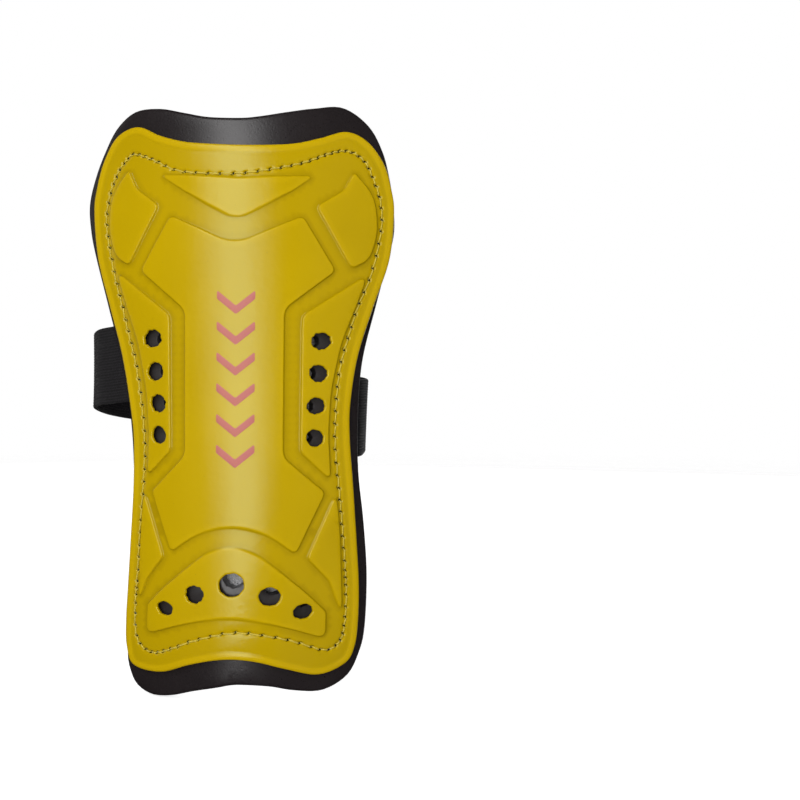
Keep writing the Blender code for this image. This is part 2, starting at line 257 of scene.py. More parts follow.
# Elastic strap, as in the CAD.
STRAP_WIDTH = 28.0
STRAP_THICKNESS = 1.6
ANCHOR_GAP = 0.9
STRAP_DEPTH = STACK + ANCHOR_GAP + STRAP_THICKNESS / 2
LONG_ROUTE = (
    (-18.0, None, 15.6), (-32.0, None, 14.2), (-47.0, None, 12.8),
    (-48.6, 20.6, 12.2), (-55.6, 26.6, 11.4), (-59.3, 36.0, 9.8), (-55.8, 49.0, 7.2),
    (-43.4, 60.8, 4.6), (-24.0, 67.7, 2.2), (-8.0, 70.2, 0.4), (6.0, 69.6, -1.2),
    (23.5, 66.4, -3.0), (35.4, 60.9, -4.3),
)
SHORT_ROUTE = (
    (18.0, None, -7.0), (31.0, None, -6.9), (41.6, None, -6.8),
    (40.8, 19.6, -6.6), (42.1, 30.0, -6.2), (40.8, 43.0, -5.4), (34.3, 54.3, -4.3),
    (22.0, 61.8, -3.0), (5.0, 64.8, -1.2),
)
SHORT_LEAN = 0.055
SHORT_LEAN_AT = 38.0
LEAN_REACH = 11.0
RIB_PITCH = 1.0
RIB_HEIGHT = 0.16
RIB_POINTS = 5
STRAP_STEP = 1.4
SELVEDGE_RADIUS = 0.9
SELVEDGE_LOSS = 0.05
SELVEDGE_POINTS = 5
PATCH_WIDTH = 22.0
PATCH_THICKNESS = 1.0
PATCH_OFFSET = STRAP_THICKNESS / 2 + LAYER_GAP + PATCH_THICKNESS / 2
PATCH_LENGTH = 30.0
PATCH_END_MARGIN = 4.0
ANCHOR_TACK = (3.0, 14.0)
TACK_INSET = 3.0
TACK_PITCH = 2.4
TACK_RADIUS = 0.2
TACK_THREAD = (-0.4, 0.14)
HOOK_PITCH = 1.5
HOOK_HEIGHT = 1.1
HOOK_RADIUS = 0.11
HOOK_ROOT = 0.3
HOOK_REACH = 0.8
HOOK_LEAN = 0.08
HOOK_SHAPE = np.array(
    [(0.0, 0.0), (0.0, 0.45), (0.08, 0.8), (0.32, 0.98), (0.55, 0.82), (0.58, 0.62)]
)
LOOP_COUNT = 420
LOOP_MARGIN = 0.8
LOOP_RADIUS = 0.07
LOOP_ROOT = 0.25
LOOP_SIZE = (0.4, 0.8)
LOOP_RISE = (0.45, 0.75)

# Camera, lights and floor, placed in metres. KEY_STRIPS are (aside, width, radiance) and
# SOFTBOXES are (name, place, target, width, height, radiance, whether it shows in gloss).
CAMERA_PLACE = (0.0553, -0.360, 0.0)
CAMERA_ROLL = -0.0057
CAMERA_LENS = 47.1
SURROUND_LIGHT = 0.15
SURROUND_GLOSS = 0.01
KEY_PLACE = (-0.212, -0.97, 0.42)
KEY_TARGET = (0.0, 0.0, 0.42)
KEY_LEAN = 0.30
KEY_HEIGHT = 1.6
KEY_STRIPS = (
    (-0.515, 0.12, 0.20), (-0.39, 0.13, 1.05), (-0.26, 0.13, 2.35), (0.0, 0.39, 3.80),
    (0.26, 0.13, 2.20), (0.39, 0.13, 0.90), (0.515, 0.12, 0.10),
)
SOFTBOXES = (
    ("fill_right", (0.95, -0.80, -0.15), (0.0, 0.0, 0.0), 0.8, 1.8, 0.78, False),
    ("fill_left", (-0.85, -0.85, -0.2), (0.0, 0.0, 0.0), 0.5, 1.6, 0.34, False),
    ("side_left", (-1.10, 0.02, 0.30), (0.0, 0.0, 0.10), 0.30, 0.9, 0.55, True),
    ("back_right", (0.38, 1.13, 0.2), (0.0, 0.0, 0.0), 0.7, 1.6, 1.35, True),
    ("back_left", (-0.60, 1.10, 0.4), (0.0, 0.0, 0.0), 0.8, 1.6, 0.9, False),
)
FLOOR_RINGS = (0.1, 0.2, 0.35, 0.6, 1.0, 1.6, 2.5)
FLOOR_SIDES = 48
FLOOR_MIDDLE = 0.03
FLOOR_CLEARANCE = 0.0004

# Steps, gaps and limits of the mesh builders.
CHUNK = 4000
CURVE_STEPS = 16
CORNER_POINTS = 9
CORNER_SHARE = 0.48
FEATURE_GAP = 0.12
GRID_GAP = 0.55
TINY = 1e-9


# ---- lines and areas in the plane ----------------------------------------------------------


def joined(*parts):
    """Coordinates side by side in a new last axis."""
    return np.stack(parts, axis=-1)


def unit(vectors, least=0.0):
    """The vectors cut to length 1."""
    return vectors / (np.linalg.norm(vectors, axis=-1, keepdims=True) + least)


def lengths_along(line):
    """The length run up to each point of a polyline."""
    steps = np.linalg.norm(np.diff(line, axis=0), axis=1)
    return np.concatenate([[0.0], np.cumsum(steps)])


def places_along(line, lengths, at):
    """The points of a polyline at these lengths along it."""
    return joined(*(np.interp(at, lengths, line[:, i]) for i in range(line.shape[1])))


def through(points, count, closed=False):
    """count points at even steps along a Catmull-Rom curve through the given points."""
    points = np.array(points, float)
    if closed:
        points = np.vstack([points[-1], points, points[:2]])
    else:
        points = np.vstack([2 * points[0] - points[1], points, 2 * points[-1] - points[-2]])
    t = np.linspace(0.0, 1.0, CURVE_STEPS, endpoint=False)[:, None]
    runs = []
    for a, b, c, d in zip(points, points[1:], points[2:], points[3:]):
        bend = (2 * a - 5 * b + 4 * c - d) * t**2 + (3 * b - a - 3 * c + d) * t**3
        runs.append(b + 0.5 * ((c - a) * t + bend))
    return even(np.vstack([*runs, points[-2]]), count, closed)


def even(curve, count, closed):
    """count points at even steps along a polyline. A closed one starts and ends at one point."""
    lengths = lengths_along(curve)
    return places_along(curve, lengths, np.linspace(0.0, lengths[-1], count, endpoint=not closed))


def perimeter(loop):
    return float(np.linalg.norm(loop - np.roll(loop, -1, axis=0), axis=1).sum())


def both_halves(right, left):
    """The closed outline whose halves are given from the top centre to the bottom centre."""
    return [*reversed(right), *((-p[0], *p[1:]) for p in left[1:-1])]


def anticlockwise(loop):
    x, z = loop[:, 0], loop[:, 1]
    area = (x * np.roll(z, -1) - z * np.roll(x, -1)).sum()
    return loop if area > 0 else loop[::-1]


def rounded(corners, step):
    """An anticlockwise loop with filleted corners, from (x, z, radius) points."""
    corners = np.array(corners, float)
    places, radii = corners[:, :2], corners[:, 2]
    runs = []
    for before, here, after, radius in zip(
        np.roll(places, 1, axis=0), places, np.roll(places, -1, axis=0), radii
    ):
        back, on = before - here, after - here
        back_length, on_length = np.linalg.norm(back), np.linalg.norm(on)
        cosine = float(back @ on / (back_length * on_length))
        half_angle = 0.5 * math.acos(max(-1.0, min(1.0, cosine)))
        most = CORNER_SHARE * min(back_length, on_length)
        reach = min(radius / math.tan(half_angle), most)
        start, end = here + back * reach / back_length, here + on * reach / on_length
        t = np.linspace(0.0, 1.0, CORNER_POINTS)[:, None]
        runs.append(start * (1 - t) ** 2 + 2 * here * t * (1 - t) + end * t**2)
    curve = anticlockwise(np.vstack(runs))
    curve = np.vstack([curve, curve[:1]])
    return even(curve, max(12, round(perimeter(curve[:-1]) / step)), True)


def normals_of(loop):
    """Unit vectors that point into an anticlockwise loop at each of its points."""
    along = unit(np.roll(loop, -1, axis=0) - np.roll(loop, 1, axis=0))
    return joined(-along[:, 1], along[:, 0])


def inset(loop, distance):
    return loop + normals_of(loop) * distance


def distances(points, line, closed=True):
    """The distance from each point to a polyline."""
    start = line if closed else line[:-1]
    span = (np.roll(line, -1, axis=0) if closed else line[1:]) - start
    size = (span**2).sum(axis=1)
    found = np.empty(len(points))
    for low in range(0, len(points), CHUNK):
        gap = points[low : low + CHUNK, None, :] - start
        t = np.clip((gap * span).sum(axis=2) / size, 0.0, 1.0)
        gap = gap - t[..., None] * span
        found[low : low + CHUNK] = np.sqrt((gap**2).sum(axis=2).min(axis=1))
    return found


def within(points, loop):
    """Whether each point lies inside a closed loop."""
    found = np.zeros(len(points), bool)
    x0, z0 = loop[:, 0], loop[:, 1]
    x1, z1 = np.roll(x0, -1), np.roll(z0, -1)
    rise = np.where(z1 == z0, TINY, z1 - z0)
    for low in range(0, len(points), CHUNK):
        x, z = points[low : low + CHUNK, 0, None], points[low : low + CHUNK, 1, None]
        crosses = ((z0 > z) != (z1 > z)) & (x < x0 + (z - z0) * (x1 - x0) / rise)
        found[low : low + CHUNK] = crosses.sum(axis=1) % 2 == 1
    return found


def signed(points, loop, margin=6.0):
    """Distance from each point to a loop, positive inside; far outside it is just -margin."""
    found = np.full(len(points), -margin)
    low, high = loop.min(axis=0) - margin, loop.max(axis=0) + margin
    near = ((points > low) & (points < high)).all(axis=1)
    gap = distances(points[near], loop)
    found[near] = np.where(within(points[near], loop), gap, -np.minimum(gap, margin))
    return found


def smooth(t):
    t = np.clip(t, 0.0, 1.0)
    return t * t * (3 - 2 * t)


def ramp(t):
    """0 to 1 along a straight slope between t = 0 and 1, with a bend at each end."""
    low = np.clip(t + PANEL_BEND, 0.0, 2 * PANEL_BEND) ** 2 / (4 * PANEL_BEND)
    high = np.clip(t - 1 + PANEL_BEND, 0.0, 2 * PANEL_BEND) ** 2 / (4 * PANEL_BEND)
    return low + np.clip(t - PANEL_BEND, 0.0, None) - high - np.clip(t - 1 - PANEL_BEND, 0.0, None)


def spaced_out(points, gap, taken):
    """Drops each point that lies nearer than gap to a taken one or to one kept before it."""
    kept, grid = [], {}
    for number, (x, z) in enumerate([*taken, *points]):
        column, row = math.floor(x / gap), math.floor(z / gap)
        if number >= len(taken):
            crowd = (
                other
                for i in (column - 1, column, column + 1)
                for j in (row - 1, row, row + 1)
                for other in grid.get((i, j), ())
            )
            if any((x - a) ** 2 + (z - b) ** 2 < gap * gap for a, b in crowd):
                continue
            kept.append((x, z))
        grid.setdefault((column, row), []).append((x, z))
    return np.array(kept).reshape(-1, 2)


def fill_grid(loop, step):
    """A triangular grid of points over a loop's box."""
    low, high = loop.min(axis=0), loop.max(axis=0)
    rows = np.arange(low[1], high[1], step * math.sqrt(0.75))
    columns = np.arange(low[0], high[0], step)
    x, z = np.meshgrid(columns, rows)
    x = x + (np.arange(len(rows)) % 2)[:, None] * step / 2
    return joined(x.ravel(), z.ravel())


# ---- the guard's surface -------------------------------------------------------------------


def front(x, z):
    """y of the shell's outer face."""
    up = (z + SECTION_Z) / (2 * SECTION_Z)
    radius = RIDGE_RADIUS_ANKLE + (RIDGE_RADIUS_KNEE - RIDGE_RADIUS_ANKLE) * up
    slope = FLANK_SLOPE_ANKLE + (FLANK_SLOPE_KNEE - FLANK_SLOPE_ANKLE) * up
    reach = radius * slope**2
    return np.hypot(reach, slope * x) - reach + END_SWEEP * (z / SECTION_Z) ** 2 - STACK


def inward(x, z):
    """Unit normals of the outer face, pointing at the leg."""
    step = 0.05
    along_x = (front(x + step, z) - front(x - step, z)) / (2 * step)
    along_z = (front(x, z + step) - front(x, z - step)) / (2 * step)
    return unit(joined(-along_x, np.ones_like(along_x), -along_z))


def on_layer(places, depth):
    """The points that lie this deep under the outer face at the (x, z) places."""
    places = np.asarray(places, float)
    x, z = places[..., 0], places[..., 1]
    depth = np.broadcast_to(depth, x.shape)
    return joined(x, front(x, z), z) + inward(x, z) * depth[..., None]


def outline_from(right, left, count):
    return anticlockwise(through(both_halves(right, left), count, closed=True))


SHELL_OUTLINE = outline_from(SHELL_RIGHT, SHELL_LEFT, 420)
FOAM_OUTLINE = outline_from(FOAM_RIGHT, FOAM_LEFT, 300)
SEAM_LINE = outline_from(SEAM_RIGHT, SEAM_LEFT, 460)
PANELS = [rounded(corners, PANEL_STEP) for corners in PANEL_CORNERS]


def needle_holes():
    """(x, z) of each needle hole along the seam, closer together near the SHORT_NEAR places."""
    line = np.vstack([SEAM_LINE, SEAM_LINE[:1]])
    lengths = lengths_along(line)
    rng = np.random.default_rng(SEED)
    reached = [0.0]
    while reached[-1] < lengths[-1] - 0.5 * STITCH_LONG:
        x, z = places_along(line, lengths, reached[-1])
        tight = max(
            math.exp(-(((abs(x) - cx) ** 2 + (z - cz) ** 2) / spread**2))
            for cx, cz, spread in SHORT_NEAR
        )
        pitch = STITCH_LONG + (STITCH_SHORT - STITCH_LONG) * tight
        reached.append(reached[-1] + pitch * rng.uniform(*PITCH_SPREAD))
    return places_along(line, lengths, np.array(reached[:-1]) * lengths[-1] / reached[-1])


NEEDLES = needle_holes()


def on_flank(places):
    """0 along the ridge and 1 on the flanks."""
    return smooth((np.abs(places[:, 0]) - FLANK_START) / FLANK_BLEND)


def wall_width(places):
    """How wide the slope round a panel is: steep on the flanks, gentler across the ridge."""
    return PANEL_WALL_RIDGE + (PANEL_WALL_FLANK - PANEL_WALL_RIDGE) * on_flank(places)


def panel_height(places):
    return PANEL_HEIGHT_RIDGE + (PANEL_HEIGHT_FLANK - PANEL_HEIGHT_RIDGE) * on_flank(places)


def relief(places):
    """How far the shell's face stands proud of the plain surface, in millimetres."""
    height, wall = np.zeros(len(places)), wall_width(places)
    start, length = TOP_PANEL_FADE
    tips = 1 - TOP_PANEL_LOSS * smooth((np.abs(places[:, 0]) - start) / length)
    for number, loop in enumerate(PANELS):
        share = tips if number == TOP_PANEL else 1
        height += share * panel_height(places) * ramp(signed(places, loop) / wall + 0.5)
    edge = distances(places, SHELL_OUTLINE)
    fall = 1 - smooth((edge - RIM_FALL[0] * RIM_WIDTH) / RIM_FALL[1])
    height += RIM_HEIGHT * smooth(edge / RIM_RISE) * fall
    height -= CREASE_DEPTH * np.exp(-(((edge - RIM_WIDTH - CREASE_WIDTH) / CREASE_WIDTH) ** 2))
    seam = distances(places, SEAM_LINE)
    height -= CHANNEL_DEPTH * np.exp(-((seam / CHANNEL_WIDTH) ** 2))
    return height


def painted_wall_light(places):
    """Painted shade along the foot of each panel's wall and a painted highlight along its upper edge,
    0 to 1.
    """
    foot, crest_highlight, half = np.zeros(len(places)), np.zeros(len(places)), wall_width(places) / 2
    for loop in PANELS:
        gap = signed(places, loop)
        foot = np.maximum(foot, np.exp(-(((gap + half + FOOT_SHADE[0]) / FOOT_SHADE[1]) ** 2)))
        crest_highlight = np.maximum(crest_highlight, np.exp(-(((gap - half - CREST_HIGHLIGHT[0]) / CREST_HIGHLIGHT[1]) ** 2)))
    return foot * (FOOT_SHADE_DEPTH - half), crest_highlight


def needle_axes():
    """Unit vectors along each slit that the needle left, turned from the seam's direction."""
    along = np.roll(NEEDLES, -1, axis=0) - np.roll(NEEDLES, 1, axis=0)
    angle = np.arctan2(along[:, 1], along[:, 0]) + NEEDLE_TURN
    return joined(np.cos(angle), np.sin(angle))


NEEDLE_AXES = needle_axes()


def needle_pits(places):
    """How near each place is to a needle's slit: 1 in the middle, 0 well outside."""
    found = np.empty(len(places))
    for low in range(0, len(places), CHUNK):
        gap = places[low : low + CHUNK, None, :] - NEEDLES
        nearest = (gap**2).sum(axis=2).argmin(axis=1)
        gap = gap[np.arange(len(gap)), nearest]
        axis = NEEDLE_AXES[nearest]
        along = (gap * axis).sum(axis=1) / NEEDLE_LONG
        across = (gap[:, 1] * axis[:, 0] - gap[:, 0] * axis[:, 1]) / NEEDLE_WIDE
        found[low : low + CHUNK] = np.exp(-((along**2 + across**2) ** 2))
    return found


def vent_loop(number, vent, grow=0.0, shift=(0.0, 0.0)):
    """A punched hole's outline, slightly out of round."""
    x, z, wide, tall, tilt = vent
    rng = np.random.default_rng(SEED + number)
    angle = np.linspace(0.0, 2 * math.pi, VENT_POINTS, endpoint=False)
    wobble = sum(
        rng.uniform(-1, 1) * share * np.cos(waves * angle + rng.uniform(0, 2 * math.pi))
        for waves, share in VENT_WAVES
    )
    size = 1 + VENT_RAGGED * wobble
    a, b = (wide * size + grow) * np.cos(angle), (tall * size + grow) * np.sin(angle)
    cosine, sine = math.cos(math.radians(tilt)), math.sin(math.radians(tilt))
    return joined(x + shift[0] + a * cosine - b * sine, z + shift[1] + a * sine + b * cosine)


# ---- meshes --------------------------------------------------------------------------------


def build(name, points, faces, mat, sharp=50.0, uv=None, attributes=None):
    """A smooth-shaded object from points in millimetres."""
    mesh = bpy.data.meshes.new(name)
    mesh.from_pydata((np.asarray(points) * MM).tolist(), [], [list(map(int, f)) for f in faces])
    for key, values in (attributes or {}).items():
        layer = mesh.attributes.new(key, "FLOAT", "POINT")
        layer.data.foreach_set("value", np.asarray(values, np.float32))
    if uv is not None:
        corner = np.zeros(len(mesh.loops), np.int32)
        mesh.loops.foreach_get("vertex_index", corner)
        layer = mesh.uv_layers.new(name="UVMap")
        layer.data.foreach_set("uv", np.asarray(uv, np.float32)[corner].ravel())
    mesh.shade_smooth()
    mesh.set_sharp_from_angle(angle=math.radians(sharp))
    mesh.materials.append(mat)
    obj = bpy.data.objects.new(name, mesh)
    bpy.context.scene.collection.objects.link(obj)
    return obj


def triangulate(rings, inner):
    """Triangles over the area between the first ring and the others, as indices of all points."""
    points = np.vstack([*rings, inner])
    edges, base = [], 0
    for ring in rings:
        count = len(ring)
        edges += [(base + i, base + (i + 1) % count) for i in range(count)]
        base += count
    result = delaunay_2d_cdt([Vector(p) for p in points], edges, [], 1, 1e-6)
    source = [origin[0] if origin else -1 for origin in result[3]]
    found = np.array([[source[i] for i in face] for face in result[2]])
    found = found[(found >= 0).all(axis=1)]
    middle = points[found].mean(axis=1)
    for ring in rings[1:]:
        found = found[~within(middle, ring)]
        middle = points[found].mean(axis=1)
    a, b, c = (points[found[:, i]] for i in range(3))
    turn = (b[:, 0] - a[:, 0]) * (c[:, 1] - a[:, 1]) - (b[:, 1] - a[:, 1]) * (c[:, 0] - a[:, 0])
    found[turn < 0] = found[turn < 0][:, ::-1]
    return found[np.abs(turn) > TINY]


def inner_points(rings, features, step):
    """Feature points and a filling grid, kept clear of the rings and of each other."""
    edge = np.vstack(rings)
    found = spaced_out(features, FEATURE_GAP, edge)
    grid = spaced_out(fill_grid(rings[0], step), GRID_GAP * step, np.vstack([edge, found]))
    found = np.vstack([found, grid])
    keep = within(found, rings[0])
    for ring in rings[1:]:
        keep &= ~within(found, ring)
    return found[keep]


def plate(outline, holes, rim, bore, steps, features=(), rise=None):
    """A closed layer of the guard: front and back faces joined round the rim and through holes.

    rim and bore are (inset or growth, depth) rings from the front to the back, and rise gives
    the front face's relief. Returns places, depths, relief and faces.
    """
    outer = [inset(outline, distance) for distance, _ in rim]
    bores = [[hole(growth) for growth, _ in bore] for hole in holes]
    places, depths, share, faces = [], [], [], []
    total = rim[-1][1] - rim[0][1]

    def add(points, depth):
        base = sum(map(len, places))
        places.append(np.asarray(points))
        depths.append(np.full(len(points), depth))
        share.append(np.full(len(points), 1 - (depth - rim[0][1]) / total))
        return base

    ring_bases = [
        [add(ring, depth) for ring, (_, depth) in zip(rings, profile)]
        for rings, profile in [(outer, rim), *((b, bore) for b in bores)]
    ]
    all_rings = [outer, *bores]
    for number, (rings, bases) in enumerate(zip(all_rings, ring_bases)):
        count = len(rings[0])
        for a, b in zip(bases, bases[1:]):
            for i in range(count):
                j = (i + 1) % count
                quad = (a + i, b + i, b + j, a + j)
                faces.append(quad if number == 0 else quad[::-1])
    for end, step, extra in ((0, steps[0], features), (-1, steps[1], ())):
        rings = [group[end] for group in all_rings]
        inner = inner_points(rings, np.asarray(extra).reshape(-1, 2), step)
        triangles = triangulate(rings, inner)
        base = add(inner, rim[end][1])
        index = np.concatenate(
            [
                *(np.arange(len(r)) + b[end] for r, b in zip(rings, ring_bases)),
                np.arange(len(inner)) + base,
            ]
        )
        faces += [tuple(f if end == 0 else f[::-1]) for f in index[triangles]]
    places, depths, share = np.vstack(places), np.concatenate(depths), np.concatenate(share)
    raised = rise(places) * share if rise else np.zeros(len(places))
    return places, depths, raised, faces


def outward_faces(points, faces):
    """The faces turned so that the closed mesh they make has a positive volume."""
    volume = 0.0
    for face in faces:
        a = points[face[0]]
        for i in range(1, len(face) - 1):
            volume += float(a @ np.cross(points[face[i]], points[face[i + 1]]))
    return faces if volume > 0 else [tuple(f)[::-1] for f in faces]


def tube_faces(count, sides):
    """Quads between neighbours of count rings of sides points each."""
    return [
        (a + j, a + (j + 1) % sides, a + sides + (j + 1) % sides, a + sides + j)
        for a in range(0, (count - 1) * sides, sides)
        for j in range(sides)
    ]


def sweep(path, radius, sides, side_hint, squash=1.0):
    """A closed tube along a path. Returns points and faces."""
    along = unit(np.gradient(path, axis=0), 1e-12)
    cross = unit(np.cross(along, side_hint), 1e-12)
    up = np.cross(cross, along)
    angle = np.linspace(0.0, 2 * math.pi, sides, endpoint=False)
    ring = (
        cross[:, None, :] * np.cos(angle)[None, :, None]
        + up[:, None, :] * np.sin(angle)[None, :, None] * squash
    )
    points = (path[:, None, :] + ring * radius).reshape(-1, 3)
    last = range(len(points) - sides, len(points))
    faces = [*tube_faces(len(path), sides), tuple(reversed(range(sides))), tuple(last)]
    return points, outward_faces(points, faces)


class Heap:
    """Many small meshes gathered into one."""

    def __init__(self):
        self.points, self.faces, self.uv, self.base = [], [], [], 0

    def add(self, points, faces, uv=None):
        self.points.append(points)
        self.faces += [tuple(i + self.base for i in face) for face in faces]
        self.uv.append(np.zeros((len(points), 2)) if uv is None else uv)
        self.base += len(points)

    def build(self, name, mat, sharp=60.0):
        points, uv = np.vstack(self.points), np.vstack(self.uv)
        return build(name, points, self.faces, mat, sharp, uv=uv)


# ---- materials -----------------------------------------------------------------------------


class Nodes:
    """Builds a node tree: each method but fill adds a node and returns one of its outputs."""

    def __init__(self, tree):
        self.tree = tree

    def fill(self, made, inputs):
        """Links or sets a node's inputs and returns the node."""
        for key, value in inputs.items():
            socket = made.inputs[key]
            if isinstance(value, bpy.types.NodeSocket):
                self.tree.links.new(value, socket)
            else:
                socket.default_value = value
        return made

    def add(self, kind, output, inputs, **settings):
        made = self.tree.nodes.new("ShaderNode" + kind)
        for key, value in settings.items():
            setattr(made, key, value)
        return self.fill(made, inputs).outputs[output]

    def place(self):
        return self.add("TexCoord", "Object", {})

    def length_and_width(self):
        """The map of a band or a thread: along it, and across or round it."""
        return self.add("UVMap", "UV", {})

    def attribute(self, name):
        return self.add("Attribute", "Fac", {}, attribute_name=name)

    def axis(self, vector, name):
        return self.add("SeparateXYZ", name, {"Vector": vector})

    def scaled(self, vector, scale):
        return self.add("Mapping", "Vector", {"Vector": vector, "Scale": scale})

    def noise(self, vector, scale, detail=3.0, rough=0.5):
        inputs = {"Vector": vector, "Scale": scale, "Detail": detail, "Roughness": rough}
        return self.add("TexNoise", "Fac", inputs)

    def spread(self, value, low, high, to_low=0.0, to_high=1.0, shape="LINEAR"):
        inputs = {"Value": value, "From Min": low, "From Max": high}
        inputs |= {"To Min": to_low, "To Max": to_high}
        return self.add("MapRange", "Result", inputs, interpolation_type=shape)

    def math(self, operation, a, b=0.0):
        return self.add("Math", "Value", {0: a, 1: b}, operation=operation)

    def times(self, a, b):
        return self.math("MULTIPLY", a, b)

    def plus(self, a, b):
        return self.math("ADD", a, b)

    def sine(self, a):
        return self.math("SINE", a)

    def mixed(self, share, a, b):
        return self.add("Mix", 2, {0: share, 6: a, 7: b}, data_type="RGBA", blend_type="MIX")

    def coated(self, base, *coats):
        """A colour under coats of (share, colour)."""
        for share, coat in coats:
            base = self.mixed(share, base, coat)
        return base

    def bump(self, height, strength, distance, **under):
        inputs = {"Height": height, "Strength": strength, "Distance": distance, **under}
        return self.add("Bump", "Normal", inputs)


class Material(Nodes):
    """A new material; finish fills its surface's inputs and returns it."""

    def __init__(self, name):
        self.made = bpy.data.materials.new(name)
        self.made.use_nodes = True
        super().__init__(self.made.node_tree)
        self.surface = self.tree.nodes["Principled BSDF"]

    def finish(self, inputs):
        self.fill(self.surface, inputs)
        return self.made


def rgb(red, green, blue):
    return (red, green, blue, 1.0)


def vinyl_material():
    """Glossy moulded vinyl: fine orange peel, faint scuffs, painted shade in the grooves and at the
    panels' feet, painted highlight along the rim and the panels' upper edges, and needle holes
    painted dark.
    """
    m = Material("moulded_vinyl")
    place = m.place()
    cloud, speck = m.noise(place, 28.0, 2.0), m.noise(place, 900.0, 2.0)
    painted_highlight, shade = rgb(0.68, 0.450, 0.002), rgb(0.36, 0.235, 0.0005)
    base = m.coated(
        rgb(0.566, 0.376, 0.0005),
        (m.spread(cloud, 0.35, 0.65), rgb(0.605, 0.405, 0.0006)),
        # Painted shade: the plain surface between the panels is darkened for the shade in the
        # grooves.
        (m.times(m.attribute("groove_shade"), 0.35), rgb(0.475, 0.315, 0.0005)),
        # Painted highlights: lighter along the rim bead and along the upper edge of each panel's
        # wall.
        (m.times(m.attribute("rim"), 0.55), painted_highlight),
        (m.times(m.attribute("crest_highlight"), 0.50), painted_highlight),
        # Painted shade along the foot of each panel's wall, where the concave corner is shaded.
        (m.times(m.attribute("foot"), 0.52), shade),
        (m.spread(speck, 0.70, 0.78, 0.0, 0.25), rgb(0.36, 0.25, 0.01)),
        # The needle pits painted near-black: painted shade down each hole, and the charcoal foam that
        # would show through it.
        (m.spread(m.attribute("pit"), 0.2, 0.55), rgb(0.012, 0.009, 0.004)),
    )
    peel = m.noise(place, 420.0, 2.0, 0.6)
    scuff = m.noise(m.scaled(place, (1.0, 1.0, 0.12)), 300.0, 4.0, 0.7)
    normal = m.bump(scuff, 0.05, 0.0004, Normal=m.bump(peel, 0.10, 0.0006))
    return m.finish({
        "Base Color": base, "Roughness": m.spread(scuff, 0.3, 0.75, 0.155, 0.21),
        "Normal": normal, "IOR": 1.5, "Specular Tint": rgb(0.70, 1.0, 0.68),
    })


def foam_material():
    """Charcoal closed-cell foam: fine grain, pores, a soft sheen, dull under the shell's flanks."""
    m = Material("closed_cell_foam")
    place = m.place()
    grain, cloud = m.noise(place, 1600.0, 3.0, 0.6), m.noise(place, 60.0)
    cells = m.add("TexVoronoi", "Distance", {"Vector": place, "Scale": 700.0})
    pore = m.times(m.spread(cells, 0.0, 0.35, 1.0, 0.0, "SMOOTHSTEP"), 0.5)
    base = m.coated(
        rgb(0.0165, 0.0128, 0.0135),
        (m.spread(cloud, 0.3, 0.7), rgb(0.0205, 0.0160, 0.0168)),
        (m.spread(grain, 0.55, 0.8, 0.0, 0.6), rgb(0.034, 0.028, 0.030)),
        (pore, rgb(0.008, 0.006, 0.007)),
    )
    skin = m.spread(grain, 0.3, 0.7, 0.27, 0.31)
    return m.finish({
        "Base Color": base, "Roughness": m.plus(skin, m.times(m.attribute("under"), 0.4)),
        "Normal": m.bump(m.math("SUBTRACT", grain, pore), 0.12, 0.0004), "IOR": 1.55,
    })


def knit_material():
    """Grey brushed knit: columns of little V stitches with stray fuzz."""
    m = Material("brushed_knit")
    place = m.place()
    wale = m.times(m.axis(place, "X"), 2 * math.pi / 0.0011)
    course = m.times(m.axis(place, "Z"), 2 * math.pi / 0.0009)
    lean = m.math("ABSOLUTE", m.sine(m.times(wale, 0.5)))
    row = m.plus(course, m.times(lean, 3.0))
    loops = m.times(m.spread(m.sine(row), -1.0, 1.0, 0.25, 1.0), lean)
    fuzz = m.noise(place, 2400.0, 3.0, 0.7)
    base = m.coated(
        rgb(0.500, 0.500, 0.520),
        (loops, rgb(0.740, 0.740, 0.760)),
        (m.spread(fuzz, 0.55, 0.8, 0.0, 0.5), rgb(0.78, 0.78, 0.80)),
    )
    return m.finish({
        "Base Color": base, "Normal": m.bump(m.plus(loops, m.times(fuzz, 0.5)), 0.7, 0.0004),
        "Roughness": 0.92, "Sheen Weight": 0.25, "Sheen Roughness": 0.4,
    })


def elastic_material():
    """Black ribbed elastic: crosswise picks between the ribs, which are in the mesh."""
    m = Material("ribbed_elastic")
    place = m.length_and_width()
    picks = m.times(m.axis(place, "X"), 2 * math.pi / 0.75)
    ribs = m.times(m.axis(place, "Y"), 2 * math.pi / RIB_PITCH)
    turn = m.times(m.sine(m.times(ribs, 0.5)), 1.6)
    pick = m.spread(m.sine(m.plus(picks, turn)), -1.0, 1.0)
    rib = m.spread(m.math("COSINE", ribs), -1.0, 1.0)
    fine = m.noise(m.scaled(place, (1.0, 4.0, 1.0)), 2.2, 3.0, 0.65)
    base = m.coated(
        rgb(0.0040, 0.0035, 0.0042),
        (rib, rgb(0.0115, 0.0100, 0.0115)),
        (m.times(pick, 0.55), rgb(0.019, 0.017, 0.019)),
        (m.spread(fine, 0.5, 0.8, 0.0, 0.5), rgb(0.026, 0.024, 0.027)),
    )
    return m.finish({
        "Base Color": base, "Normal": m.bump(m.plus(pick, m.times(fine, 0.6)), 0.6, 0.00025),
        "Roughness": m.spread(rib, 0.0, 1.0, 0.85, 0.62), "Specular IOR Level": 0.3,
        "Sheen Weight": 0.06, "Sheen Roughness": 0.35,
    })


